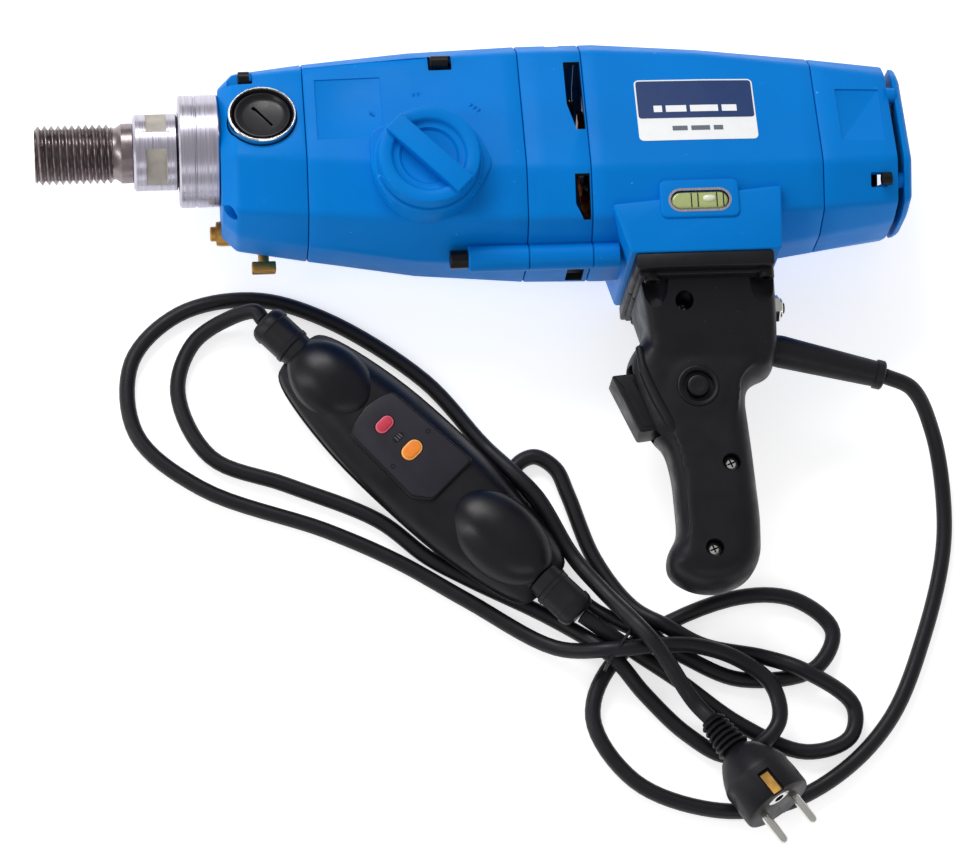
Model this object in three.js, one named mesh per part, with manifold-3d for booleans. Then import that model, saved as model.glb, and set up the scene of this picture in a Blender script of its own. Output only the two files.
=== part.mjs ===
// Hand-held two-speed wet core drill: motor unit with pistol handle, mains cord, in-line
// residual-current breaker and earthed plug, lying on its side as it is put down after use.
//
// Millimetres, +Z up. The tool is drawn in its own group: x runs back from the spindle tip,
// y is height above the spindle axis, z is sideways from the tool's middle plane.

import * as THREE from 'three';
import { mergeVertices } from 'three/addons/utils/BufferGeometryUtils.js';
import { ConvexGeometry } from 'three/addons/geometries/ConvexGeometry.js';
import Module from 'manifold-3d';

const wasm = await Module();
wasm.setup();

// ---------------------------------------------------------------- driving dimensions

const GAP = 0.3;                    // clearance left between neighbouring solids
const WELD = 1e-4;                  // vertices closer than this are one

const TOOL_LENGTH = 464;            // spindle tip to the back of the rear cap
const TOOL_TOP = 50.5;              // top of the body above the spindle axis
const BUTT_DROP = 253.5;            // bottom of the grip below the spindle axis
const HALF_WIDTH = 47;              // widest ridge of the body, from the middle plane
const MOTOR_DROP = 12;              // motor axis below the spindle axis
const COUNTER_DROP = 30;            // countershaft below the spindle axis
const WALL = 4;                     // casting wall

// Housing joints along the tool axis.
const NOSE_FRONT = 98;
const NOSE_REAR = 143;
const GEARCASE_REAR = 258;
const FAN_REAR = 292;
const MOTOR_REAR = 415.5;
const COVER_REAR = 456;

// Spindle: 1-1/4 inch UNC thread, square drive hub, 60 mm clamping neck behind it.
const THREAD_RADIUS = 15.875;
const THREAD_PITCH = 25.4 / 7;
const THREAD_DEPTH = 2.1;
const THREAD_END = 41.6;
const NECK_END = 52.3;
const HUB_END = 75.6;
const HUB_RADIUS = 20.5;
const HUB_ACROSS_FLATS = 35;
const SPINDLE_RADIUS = 12.5;
const COLLAR_RADIUS = 30;
const COLLAR_FRONT = 76.3;

// Gear train, module and tooth counts.
const MOTOR_MODULE = 1;
const PINION_TEETH = 8;
const DRIVE_TEETH = 28;
const SPEED_MODULE = 1.25;
const LOW_PINION_TEETH = 12;
const LOW_GEAR_TEETH = 36;
const HIGH_PINION_TEETH = 20;
const HIGH_GEAR_TEETH = 28;

// Handle.
const FLANGE_TOP = -79.5;
const FLANGE_THICKNESS = 8;
const FLANGE_FRONT = 312.5;
const FLANGE_REAR = 385.5;
const FLANGE_HALF_WIDTH = 46;
const GRIP_HALF_WIDTH = 18;

// Mains cord and what is on it.
const CORD_DIAMETER = 8.5;
const CORD_SIDES = 8;
const BREAKER_LENGTH = 187;
const BREAKER_WIDTH = 59;
const BREAKER_HEIGHT = 36;
const PIN_DIAMETER = 4.8;
const PIN_LENGTH = 19;
const PIN_SPACING = 19;
const PLUG_DIAMETER = 38;

// ---------------------------------------------------------------- materials

const paint = (color, roughness, metalness) =>
  new THREE.MeshStandardMaterial({ color, roughness, metalness });

const BLUE = paint(0x0a76cf, 0.42, 0.1);
const BLACK_PLASTIC = paint(0x17171a, 0.55, 0);
const BLACK_RUBBER = paint(0x131315, 0.7, 0);
const STEEL = paint(0x8f8b88, 0.35, 0.9);
const MACHINED = paint(0xb9b6b4, 0.3, 0.9);
const DARK_STEEL = paint(0x3a3a3d, 0.45, 0.8);
const BRASS = paint(0xa8864a, 0.35, 0.9);
const COPPER = paint(0xa8602c, 0.4, 0.8);
const CLEAR = paint(0xcfe08a, 0.1, 0);
const RED = paint(0xc23450, 0.4, 0);
const ORANGE = paint(0xf08a2c, 0.4, 0);

// ---------------------------------------------------------------- solids

// A closed body from any closed geometry, with its faces turned outwards.
function solid(geometry) {
  const bare = geometry.clone();
  for (const name of Object.keys(bare.attributes)) {
    if (name !== 'position') bare.deleteAttribute(name);
  }
  const welded = mergeVertices(bare, WELD);
  const corners = welded.index.array;
  const position = welded.attributes.position;
  const triangles = [];
  let volume = 0;
  const [a, b, c] = [new THREE.Vector3(), new THREE.Vector3(), new THREE.Vector3()];
  for (let i = 0; i < corners.length; i += 3) {
    const [p, q, r] = [corners[i], corners[i + 1], corners[i + 2]];
    if (p === q || q === r || r === p) continue;
    triangles.push(p, q, r);
    a.fromBufferAttribute(position, p);
    b.fromBufferAttribute(position, q);
    c.fromBufferAttribute(position, r);
    volume += a.dot(b.cross(c));
  }
  if (volume < 0) triangles.reverse();
  return new wasm.Manifold(new wasm.Mesh({
    numProp: 3,
    vertProperties: new Float32Array(position.array),
    triVerts: new Uint32Array(triangles),
  }));
}

function mesh(name, body, material) {
  const { vertProperties, triVerts } = body.getMesh();
  const geometry = new THREE.BufferGeometry();
  geometry.setAttribute('position', new THREE.BufferAttribute(vertProperties, 3));
  geometry.setIndex(new THREE.BufferAttribute(triVerts, 1));
  geometry.computeVertexNormals();
  const result = new THREE.Mesh(geometry, material);
  result.name = name;
  return result;
}

const join = (first, ...others) => others.reduce((sum, other) => sum.add(other), first);
const cut = (first, ...others) => others.reduce((rest, other) => rest.subtract(other), first);

function box([x0, x1], [y0, y1], [z0, z1]) {
  const geometry = new THREE.BoxGeometry(x1 - x0, y1 - y0, z1 - z0);
  geometry.translate((x0 + x1) / 2, (y0 + y1) / 2, (z0 + z1) / 2);
  return solid(geometry);
}

// Round bar along x, y or z between two stations, centred at the other two coordinates.
function bar(axis, radius, [start, end], [u, v], sides = 24, endRadius = radius) {
  const geometry = new THREE.CylinderGeometry(endRadius, radius, end - start, sides);
  geometry.translate(0, (start + end) / 2, 0);
  if (axis === 'x') geometry.rotateZ(-Math.PI / 2).translate(0, u, v);
  if (axis === 'y') geometry.translate(u, 0, v);
  if (axis === 'z') geometry.rotateX(Math.PI / 2).translate(u, v, 0);
  return solid(geometry);
}

// Body of revolution about the x axis through (y, z); the profile is [x, radius] pairs.
function turned(profile, [y, z] = [0, 0], sides = 32) {
  const points = profile.map(([x, radius]) => new THREE.Vector2(radius, x));
  const geometry = new THREE.LatheGeometry(points, sides);
  geometry.rotateZ(-Math.PI / 2).translate(0, y, z);
  return solid(geometry);
}

const ring = (inner, outer, [x0, x1], centre, sides = 32) =>
  turned([[x0, inner], [x0, outer], [x1, outer], [x1, inner], [x0, inner]], centre, sides);

const hull = (points) => solid(new ConvexGeometry(points.map((p) => new THREE.Vector3(...p))));

// Flat outline in the x-y plane, pushed along z.
function slab(shape, [z0, z1], bevel = 0, curveSegments = 6) {
  const geometry = new THREE.ExtrudeGeometry(shape, {
    depth: z1 - z0 - 2 * bevel,
    bevelEnabled: bevel > 0,
    bevelThickness: bevel,
    bevelSize: bevel,
    bevelOffset: -bevel,
    bevelSegments: 2,
    curveSegments,
  });
  geometry.translate(0, 0, z0 + bevel);
  return solid(geometry);
}

const outline = (points) => new THREE.Shape(points.map(([x, y]) => new THREE.Vector2(x, y)));

// Ring-sector prism about an axis parallel to x.
function sector([inner, outer], [from, to], [x0, x1], [y, z]) {
  const steps = Math.max(2, Math.round((to - from) / 15));
  const arc = (radius, k) => {
    const angle = THREE.MathUtils.degToRad(from + (to - from) * k / steps);
    return [radius * Math.sin(angle), radius * Math.cos(angle)];
  };
  const points = [];
  for (let k = 0; k <= steps; k++) points.push(arc(outer, k));
  for (let k = steps; k >= 0; k--) points.push(arc(inner, k));
  const geometry = new THREE.ExtrudeGeometry(outline(points), { depth: x1 - x0, bevelEnabled: false });
  geometry.rotateY(Math.PI / 2).translate(x0, y, z);
  return solid(geometry);
}

// ---------------------------------------------------------------- body sections

// The casing is eight-sided: a top flat, a shoulder, a widest ridge, a lower edge and a
// bottom flat on each side. These are its corners at the stations where the taper changes.
const STATIONS = [
  { x: 106, top: 39, shoulder: [33, 23], ridge: [-16, 39], lower: [-45, 31], bottom: -52.5 },
  { x: 143, top: 43.5, shoulder: [36, 25], ridge: [-20, 41.5], lower: [-49, 34], bottom: -59.5 },
  { x: 200, top: 48.5, shoulder: [39.5, 27], ridge: [-26, 45], lower: [-54, 38], bottom: -69.5 },
  { x: 258, top: TOOL_TOP, shoulder: [41, 28], ridge: [-30, HALF_WIDTH], lower: [-57, 41], bottom: -74.6 },
  { x: 300, top: TOOL_TOP, shoulder: [41, 28], ridge: [-31, HALF_WIDTH], lower: [-57, 41], bottom: -75.6 },
  { x: 356, top: 46, shoulder: [38, 27], ridge: [-31, HALF_WIDTH], lower: [-57, 41], bottom: -72 },
  { x: 415.5, top: 39, shoulder: [30.5, 25], ridge: [-31, 46], lower: [-55, 38], bottom: -62.5 },
  { x: 456, top: 33.5, shoulder: [25, 22], ridge: [-29, 42], lower: [-51, 33], bottom: -55.5 },
];
const TOP_HALF_FLAT = 12;
const BOTTOM_HALF_FLAT = 14;

const mix = (a, b, t) => a + (b - a) * t;

// The casing's outline at x, moved in by a wall thickness.
function section(x, inset = 0) {
  let k = STATIONS.findIndex((station) => station.x >= x);
  if (k < 1) k = k === 0 ? 1 : STATIONS.length - 1;
  const [a, b] = [STATIONS[k - 1], STATIONS[k]];
  const t = (x - a.x) / (b.x - a.x);
  const side = [
    [mix(a.top, b.top, t) - inset, TOP_HALF_FLAT - inset / 3],
    [mix(a.shoulder[0], b.shoulder[0], t) - 0.7 * inset, mix(a.shoulder[1], b.shoulder[1], t) - 0.7 * inset],
    [mix(a.ridge[0], b.ridge[0], t), mix(a.ridge[1], b.ridge[1], t) - inset],
    [mix(a.lower[0], b.lower[0], t) + 0.4 * inset, mix(a.lower[1], b.lower[1], t) - 0.9 * inset],
    [mix(a.bottom, b.bottom, t) + inset, BOTTOM_HALF_FLAT - inset / 3],
  ];
  return [...side.map(([y, z]) => [x, y, z]), ...side.map(([y, z]) => [x, y, -z])];
}

// The casing between two stations, with every change of taper on the way.
function casing(from, to, inset = 0) {
  const between = STATIONS.map((station) => station.x).filter((x) => x > from && x < to);
  return hull([from, ...between, to].flatMap((x) => section(x, inset)));
}

// ---------------------------------------------------------------- gears

// Spur gear with straight-flanked teeth; turn is where its first tooth points, in degrees.
function gear(teeth, module, [x0, x1], [y, z], turn, bore) {
  const pitchRadius = teeth * module / 2;
  const levels = [
    [pitchRadius - 1.15 * module, 0.28],
    [pitchRadius - 0.1 * module, 0.2],
    [pitchRadius + 0.85 * module, 0.11],
  ];
  const points = [];
  for (let tooth = 0; tooth < teeth; tooth++) {
    const flank = (side) => ([radius, width]) => {
      const angle = THREE.MathUtils.degToRad(turn) + (tooth + side * width) * 2 * Math.PI / teeth;
      return [radius * Math.sin(angle), radius * Math.cos(angle)];
    };
    points.push(...levels.map(flank(-1)), ...levels.toReversed().map(flank(1)));
  }
  const geometry = new THREE.ExtrudeGeometry(outline(points), { depth: x1 - x0, bevelEnabled: false });
  geometry.rotateY(Math.PI / 2).translate(x0, y, z);
  const body = solid(geometry);
  return bore ? cut(body, bar('x', bore, [x0 - 1, x1 + 1], [y, z])) : body;
}

// ---------------------------------------------------------------- tool

const tool = new THREE.Group();
tool.position.set(-TOOL_LENGTH / 2, (BUTT_DROP - TOOL_TOP) / 2, HALF_WIDTH);
const add = (name, body, material) => tool.add(mesh(name, body, material));

const ON_SPINDLE = [0, 0];
const ON_COUNTER = [-COUNTER_DROP, 0];
const ON_MOTOR = [-MOTOR_DROP, 0];

// Stations of the rotating parts.
const HIGH_GEAR = [172, 184];
const SLEEVE = [193, 205];
const LOW_GEAR = [206, 220];
const BULKHEAD = [222, 238];
const DRIVE_GEAR = [242, 252];
const FAN = [275, 288];
const CORE = [300, 352];
const COMMUTATOR = [366, 386];
const FRONT_BEARING = [84.6, 96.6];
const REAR_SPINDLE_BEARING = [224.5, 234.5];
const COUNTER_BEARINGS = [[105.5, 111.5], [224, 230]];
const ARMATURE_BEARINGS = [[262.3, 272.3], [402.3, 411.3]];

const KNOB_CENTRE = [206, -26];
const KNOB_RADIUS = 27;
const KNOB_SEAT = 51;
const KNOB_TOP = 61;
const KNOB_SHAFT_RADIUS = 6;
const CRANK_RADIUS = 6.22;

// Screw tube along the near lower edge of the gearcase and fan housing.
const TUBE_CENTRE = [-72.7, 23.5];
const TUBE_RADIUS = 7;
const TUBE_REAR = 306;

// The external thread: a cylinder whose radius follows the thread flank round and along it.
function threadedRod() {
  const turnSteps = 20;
  const stepsPerPitch = 5;
  const steps = Math.round(THREAD_END / THREAD_PITCH * stepsPerPitch);
  const geometry = new THREE.CylinderGeometry(1, 1, THREAD_END, turnSteps, steps);
  geometry.translate(0, THREAD_END / 2, 0).rotateZ(-Math.PI / 2);
  const position = geometry.attributes.position;
  for (let i = 0; i < position.count; i++) {
    const [x, y, z] = [position.getX(i), position.getY(i), position.getZ(i)];
    if (Math.hypot(y, z) < 0.5) continue;
    const phase = THREE.MathUtils.euclideanModulo(x / THREAD_PITCH - Math.atan2(z, y) / (2 * Math.PI), 1);
    const flank = THREE.MathUtils.clamp(Math.abs(phase - 0.5) * 2.6 - 0.15, 0, 1);
    const chamfer = Math.min(1, x / THREAD_PITCH + 0.25);
    const radius = THREAD_RADIUS - THREAD_DEPTH * Math.max(flank, 1 - chamfer);
    position.setXYZ(i, x, y * radius, z * radius);
  }
  return solid(geometry);
}

function spindle() {
  const rod = turned([
    [THREAD_END - 1, 0], [THREAD_END - 1, THREAD_RADIUS - THREAD_DEPTH],
    [THREAD_END + 2.5, THREAD_RADIUS - THREAD_DEPTH],
    [THREAD_END + 4, 16], [NECK_END, 16], [NECK_END, HUB_RADIUS - 1.5], [NECK_END + 1.5, HUB_RADIUS],
    [HUB_END, HUB_RADIUS], [HUB_END, SPINDLE_RADIUS], [REAR_SPINDLE_BEARING[0] - 0.6, SPINDLE_RADIUS],
    [REAR_SPINDLE_BEARING[0] - 0.6, 8.5], [236, 8.5], [236, 0],
  ]);
  const flats = [0, 90, 180, 270].map((turn) => {
    const block = new THREE.BoxGeometry(11, 10, 60);
    block.translate(64.5, HUB_ACROSS_FLATS / 2 + 5, 0).rotateX(THREE.MathUtils.degToRad(turn + 45));
    return solid(block);
  });
  const waterway = bar('x', 4.5, [-1, 112], ON_SPINDLE, 16);
  const waterHole = bar('y', 2.5, [-20, 20], [104, 0], 12);
  return cut(join(threadedRod(), rod), ...flats, waterway, waterHole);
}

function clampingCollar() {
  const [front, rear, spigot] = [COLLAR_FRONT, NOSE_FRONT - GAP, NOSE_FRONT + 4];
  return turned([
    [front, 21.3], [front, COLLAR_RADIUS - 1], [front + 1, COLLAR_RADIUS], [rear, COLLAR_RADIUS],
    [rear, 26], [spigot, 26], [spigot, 23.8], [84.2, 23.8], [84.2, 21.3], [front, 21.3],
  ], ON_SPINDLE, 48);
}

function frontCap() {
  const nose = hull([...section(NOSE_FRONT, 7).map((p) => [NOSE_FRONT, p[1], p[2]]), ...section(106),
    ...section(NOSE_REAR - GAP)]);
  const capSeat = new THREE.CylinderGeometry(18.3, 18.3, 16, 32);
  capSeat.rotateX(Math.PI / 2).translate(0, 0, -1.5);
  capSeat.rotateX(-CAP_TILT).translate(...CAP_CENTRE);
  return cut(nose,
    casing(112, NOSE_REAR + 1, WALL),
    bar('x', 26.3, [NOSE_FRONT - 1, NOSE_FRONT + 4 + GAP], ON_SPINDLE, 48),
    bar('x', 14, [NOSE_FRONT, 113], ON_SPINDLE),
    bar('x', 11.3, [105.2, 113], ON_COUNTER),
    bar('x', 6.8, [NOSE_FRONT - 1, 113], INLET_CENTRE, 16),
    bar('y', 3.4, [-62, -44], LEVER_PIVOT, 12),
    solid(capSeat));
}

// Round cap on the nose, square to the upper facet.
const CAP_CENTRE = [120.5, 6.2, 32.2];
const CAP_TILT = THREE.MathUtils.degToRad(18);
function onNoseFacet(geometry) {
  geometry.rotateX(-CAP_TILT).translate(...CAP_CENTRE);
  return solid(geometry);
}

function noseCapRing() {
  const profile = [[15.3, -4], [18, -4], [18, 3.6], [17.4, 4.2], [15.3, 4.2], [15.3, -4]];
  const geometry = new THREE.LatheGeometry(profile.map(([r, z]) => new THREE.Vector2(r, z)), 32);
  return onNoseFacet(geometry.rotateX(Math.PI / 2));
}

function noseCap() {
  const profile = [[0, -4], [15, -4], [15, 2.4], [13.4, 3.2], [12.8, 2.2], [0, 2.2]];
  const geometry = new THREE.LatheGeometry(profile.map(([r, z]) => new THREE.Vector2(r, z)), 32);
  return onNoseFacet(geometry.rotateX(Math.PI / 2));
}

const screwTube = (x0, x1) => bar('x', TUBE_RADIUS, [x0, x1], TUBE_CENTRE, 16);

function gearHousing() {
  const [front, rear] = [NOSE_REAR, GEARCASE_REAR - GAP];
  const shell = join(casing(front, rear), screwTube(226, rear),
    bar('z', KNOB_RADIUS + 3, [20, KNOB_SEAT - GAP], KNOB_CENTRE, 36));
  return cut(shell,
    casing(front - 1, BULKHEAD[0], WALL),
    casing(BULKHEAD[1], rear + 1, WALL),
    bar('z', 22, [30, 44], KNOB_CENTRE, 24),
    bar('z', KNOB_SHAFT_RADIUS + GAP, [20, 60], KNOB_CENTRE, 20),
    bar('x', 17.8, [BULKHEAD[0] - 1, 235], ON_SPINDLE),
    bar('x', 9.5, [230, 240], ON_SPINDLE),
    bar('x', 11.3, [BULKHEAD[0] - 1, 230.5], ON_COUNTER),
    bar('x', 7, [230, 240], ON_COUNTER));
}

function fanHousing() {
  const [front, rear] = [GEARCASE_REAR, FAN_REAR - GAP];
  const shell = join(casing(front, rear), screwTube(front, rear));
  const vents = [-1, 1].flatMap((side) => [
    box([281, rear + 1], [11, 35], side > 0 ? [25, 60] : [-60, -25]),
    box([281, rear + 1], [-54, -33], side > 0 ? [25, 60] : [-60, -25]),
  ]);
  return cut(shell,
    casing(273, rear + 1, WALL),
    bar('x', 16.3, [262, 274], ON_MOTOR),
    bar('x', 7, [front - 1, 263], ON_MOTOR),
    box([274, 282], [TOOL_TOP - 2, TOOL_TOP + 2], [-20, 20]),
    box([280, 289], [-80, -62], [-10, 10]),
    ...vents);
}

function motorHousing() {
  const [front, rear] = [FAN_REAR, MOTOR_REAR - GAP];
  const saddle = hull([
    [310, FLANGE_TOP + GAP, 46], [390, FLANGE_TOP + GAP, 46], [302, -52, 46], [392, -48, 46],
    [310, FLANGE_TOP + GAP, -46], [390, FLANGE_TOP + GAP, -46], [302, -52, -46], [392, -48, -46],
  ]);
  return cut(join(casing(front, rear), saddle, screwTube(front, TUBE_REAR)),
    casing(front - 1, 400, WALL),
    bar('x', 15.3, [399, 411.6], ON_MOTOR),
    bar('x', 6.5, [410, rear + 1], ON_MOTOR),
    bar('y', 12, [-90, -60], [352, 0], 16),
    ...[-1, 1].map((side) => bar('x', 5, [395, rear + 1], [-40, side * 22], 12)),
    levelPocket([44.5, 50]));
}

// Spirit level let into the near side above the handle.
const LEVEL_CENTRE = [348, -51.5];
const LEVEL_LENGTH = 31;
const LEVEL_WIDTH = 10.5;
function levelPocket(z) {
  return box([LEVEL_CENTRE[0] - LEVEL_LENGTH / 2 - GAP, LEVEL_CENTRE[0] + LEVEL_LENGTH / 2 + GAP],
    [LEVEL_CENTRE[1] - LEVEL_WIDTH / 2 - GAP, LEVEL_CENTRE[1] + LEVEL_WIDTH / 2 + GAP], z);
}

function bubbleLevel() {
  const radius = LEVEL_WIDTH / 2;
  const half = LEVEL_LENGTH / 2 - radius;
  const shape = new THREE.Shape();
  shape.absarc(half, 0, radius, -Math.PI / 2, Math.PI / 2);
  shape.absarc(-half, 0, radius, Math.PI / 2, 3 * Math.PI / 2);
  const geometry = new THREE.ExtrudeGeometry(shape, { depth: 2.2, bevelEnabled: false, curveSegments: 8 });
  geometry.translate(LEVEL_CENTRE[0], LEVEL_CENTRE[1], 44.5 + GAP);
  return solid(geometry);
}

function rearCover() {
  const [front, rear] = [MOTOR_REAR, COVER_REAR];
  return cut(casing(front, rear),
    casing(front - 1, rear - 4, WALL),
    bar('x', 22, [rear - 6, rear + 1], ON_MOTOR));
}

// End plate held off the rear cover by four posts, so that air enters all round it.
function rearCap() {
  const x = COVER_REAR + 3.5;
  const rim = section(COVER_REAR).map(([, y, z]) => [y * 0.97, z * 0.97]);
  const plate = hull([...rim.map(([y, z]) => [x, y, z]), ...rim.map(([y, z]) => [TOOL_LENGTH - 1.5, y, z]),
    ...rim.map(([y, z]) => [TOOL_LENGTH, y * 0.9 - 1, z * 0.9])]);
  const posts = [[12, 24], [-38, 30]].flatMap(([y, z]) =>
    [-1, 1].map((side) => bar('x', 4, [COVER_REAR + GAP, x + 1], [y, side * z], 12)));
  return join(plate, ...posts);
}

function speedKnob() {
  const [x, y] = KNOB_CENTRE;
  const disc = bar('z', KNOB_RADIUS, [KNOB_SEAT, KNOB_TOP], KNOB_CENTRE, 40, KNOB_RADIUS - 0.6);
  const dish = bar('z', KNOB_RADIUS - 7, [KNOB_TOP - 4, KNOB_TOP + 1], KNOB_CENTRE, 32);
  const grip = new THREE.BoxGeometry(52, 11, 8);
  grip.translate(0, 0, KNOB_TOP - 1).rotateZ(-Math.PI / 4).translate(x, y, 0);
  const shaft = bar('z', KNOB_SHAFT_RADIUS, [34, KNOB_SEAT + 1], KNOB_CENTRE, 20);
  const angle = THREE.MathUtils.degToRad(CRANK_REST);
  const pin = bar('z', 2, [27, 35],
    [x + CRANK_RADIUS * Math.cos(angle), y + CRANK_RADIUS * Math.sin(angle)], 12);
  const web = bar('z', 9, [33.5, 37.5], KNOB_CENTRE, 24);
  return join(cut(disc, dish), solid(grip), shaft, web, pin);
}
// The crank pin stands a little ahead of the knob's centre line and swings to as far behind it.
const CRANK_REST = -50;

// Fork that the crank pin moves along the spindle; it straddles the groove in the sleeve.
function shiftFork() {
  const angle = THREE.MathUtils.degToRad(CRANK_REST);
  const slotX = KNOB_CENTRE[0] + CRANK_RADIUS * Math.cos(angle);
  const groove = (SLEEVE[0] + SLEEVE[1]) / 2;
  const crescent = sector([15.2, 19], [-180, 0], [groove - 1.6, groove + 1.6], ON_SPINDLE);
  const stem = box([groove - 1.6, groove + 1.6], [-30, 0], [15.6, 19]);
  const arm = box([groove - 1.6, groove + 1.6], [-36, -24], [16, 31]);
  const tongue = box([groove - 1.6, slotX + 5], [-38, -24], [28.4, 31.5]);
  const slot = box([slotX - 2.4, slotX + 2.4], [-36, -26], [27, 33]);
  return cut(join(crescent, stem, arm, tongue), slot);
}

function shiftSleeve() {
  const [x0, x1] = SLEEVE;
  const middle = (x0 + x1) / 2;
  return turned([
    [x0, 12.8], [x0, 17.5], [middle - 2.2, 17.5], [middle - 2.2, 14.6], [middle + 2.2, 14.6],
    [middle + 2.2, 17.5], [x1, 17.5], [x1, 12.8], [x0, 12.8],
  ]);
}

function countershaft() {
  const shaft = turned([
    [105.5, 0], [105.5, 5], [112.5, 5], [112.5, 6], [223.5, 6], [223.5, 5], [254, 5], [254, 0],
  ], ON_COUNTER, 24);
  return join(shaft,
    gear(HIGH_PINION_TEETH, SPEED_MODULE, [HIGH_GEAR[0] - 1, HIGH_GEAR[1] + 0.6], ON_COUNTER, 0),
    gear(LOW_PINION_TEETH, SPEED_MODULE, [LOW_GEAR[0] - 0.4, LOW_GEAR[1] + 0.6], ON_COUNTER, 0));
}

function armatureShaft() {
  const shaft = turned([
    [253, 0], [253, 3], [256, 5.5], [259, 6], [400, 6], [401.6, 5], [413, 5], [413, 0],
  ], ON_MOTOR, 24);
  return join(shaft, gear(PINION_TEETH, MOTOR_MODULE, [240.5, 253.5], ON_MOTOR, 180));
}

function armatureCore() {
  const [x0, x1] = CORE;
  const core = turned([
    [x0 - 8, 6.3], [x0 - 8, 14], [x0, 20], [x0, 24], [x1, 24], [x1, 20],
    [x1 + 11, 12], [x1 + 11, 6.3], [x0 - 8, 6.3],
  ], ON_MOTOR);
  const slots = Array.from({ length: 12 }, (_, k) => {
    const slot = new THREE.BoxGeometry(x1 - x0 + 0.02, 2, 2.2);
    slot.translate((x0 + x1) / 2, 23.6, 0).rotateX(k * Math.PI / 6 + 0.1).translate(0, -MOTOR_DROP, 0);
    return solid(slot);
  });
  return cut(core, ...slots);
}

function coolingFan() {
  const [x0, x1] = FAN;
  const hub = turned([[x0, 6.3], [x0, 12], [x1, 12], [x1, 6.3], [x0, 6.3]], ON_MOTOR, 24);
  const disc = ring(8, 36, [x0, x0 + 1.6], ON_MOTOR, 32);
  const blades = Array.from({ length: 9 }, (_, k) => {
    const blade = new THREE.BoxGeometry(11, 25, 1.4);
    blade.translate(x0 + 6.5, 23, 3).rotateX(k * 2 * Math.PI / 9).translate(0, -MOTOR_DROP, 0);
    return solid(blade);
  });
  return join(hub, disc, ...blades);
}

const COIL_SPAN = [22, 158];
function fieldCoil(turn) {
  const [from, to] = COIL_SPAN.map((angle) => angle + turn);
  const [x0, x1] = CORE;
  const radii = [27.5, 35];
  return join(
    sector(radii, [from, to], [x0 - 7.5, x0 - 1.6], ON_MOTOR),
    sector(radii, [from, to], [x1 + 1.6, x1 + 8], ON_MOTOR),
    sector(radii, [from, from + 16], [x0 - 2, x1 + 2], ON_MOTOR),
    sector(radii, [to - 16, to], [x0 - 2, x1 + 2], ON_MOTOR));
}

function statorCore() {
  const [x0, x1] = CORE;
  const slots = [COIL_SPAN[0], COIL_SPAN[1] - 16].flatMap((angle) => [angle, angle + 180]).map((angle) =>
    sector([22, 35.6], [angle - 1.5, angle + 17.5], [x0 - 2, x1 + 2], ON_MOTOR));
  return cut(ring(24.8, 42, [x0 - 1, x1 + 1], ON_MOTOR, 40), ...slots)
    .intersect(casing(FAN_REAR, 400, WALL + GAP));
}

function brushHolder(side) {
  const [x0, x1] = COMMUTATOR;
  const middle = (x0 + x1) / 2;
  const span = (low, high) => (side > 0 ? [low, high] : [-high, -low]).map((y) => y - MOTOR_DROP);
  return cut(box([middle - 8, middle + 8], span(17.5, 33), [-6, 6]),
    box([middle - 5.3, middle + 5.3], span(16, 31), [-3.3, 3.3]));
}

function carbonBrush(side) {
  const middle = (COMMUTATOR[0] + COMMUTATOR[1]) / 2;
  const span = (side > 0 ? [15.6, 27] : [-27, -15.6]).map((y) => y - MOTOR_DROP);
  return box([middle - 5, middle + 5], span, [-3, 3]);
}

// ---------------------------------------------------------------- handle

// The grip seen from the side, from the neck down the front, round the butt and up the back.
const GRIP_OUTLINE = [
  [316, -90], [320, -112], [310, -124], [308, -133], [313, -150], [319, -168], [326, -174], [329, -190],
  [330, -222], [323, -232], [323, -243], [335, -251.5], [350, -253.5], [365, -248], [373, -236], [374, -215],
  [372, -176], [370, -148], [374, -139.5], [385, -136], [388, -128], [388, -112], [386.5, -96], [386, -88],
];
const GRIP_CORE = [
  [321, -90], [325, -112], [316, -126], [316, -136], [324, -166], [334, -180], [335, -222], [329, -236],
  [337, -246], [350, -248], [361, -243], [368, -234], [369, -215], [367, -176], [365, -146], [371, -135],
  [382, -130], [383, -112], [381.5, -96], [381, -90],
];
const TRIGGER_OUTLINE = [[299.5, -135.5], [312, -134.5], [325, -165.5], [313, -167]];
const LOCK_CENTRE = [344, -145];
const HANDLE_SCREWS = [['top', 338.5, -101], ['middle', 359, -187], ['bottom', 347, -233]];
const BREAKER_CENTRE = [-99, 4];
const RELIEF_ROOT = [388.3, -121, 0];
const RELIEF_END = [447, -135, -7];
const RELIEF_RADIUS = 8;

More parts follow.
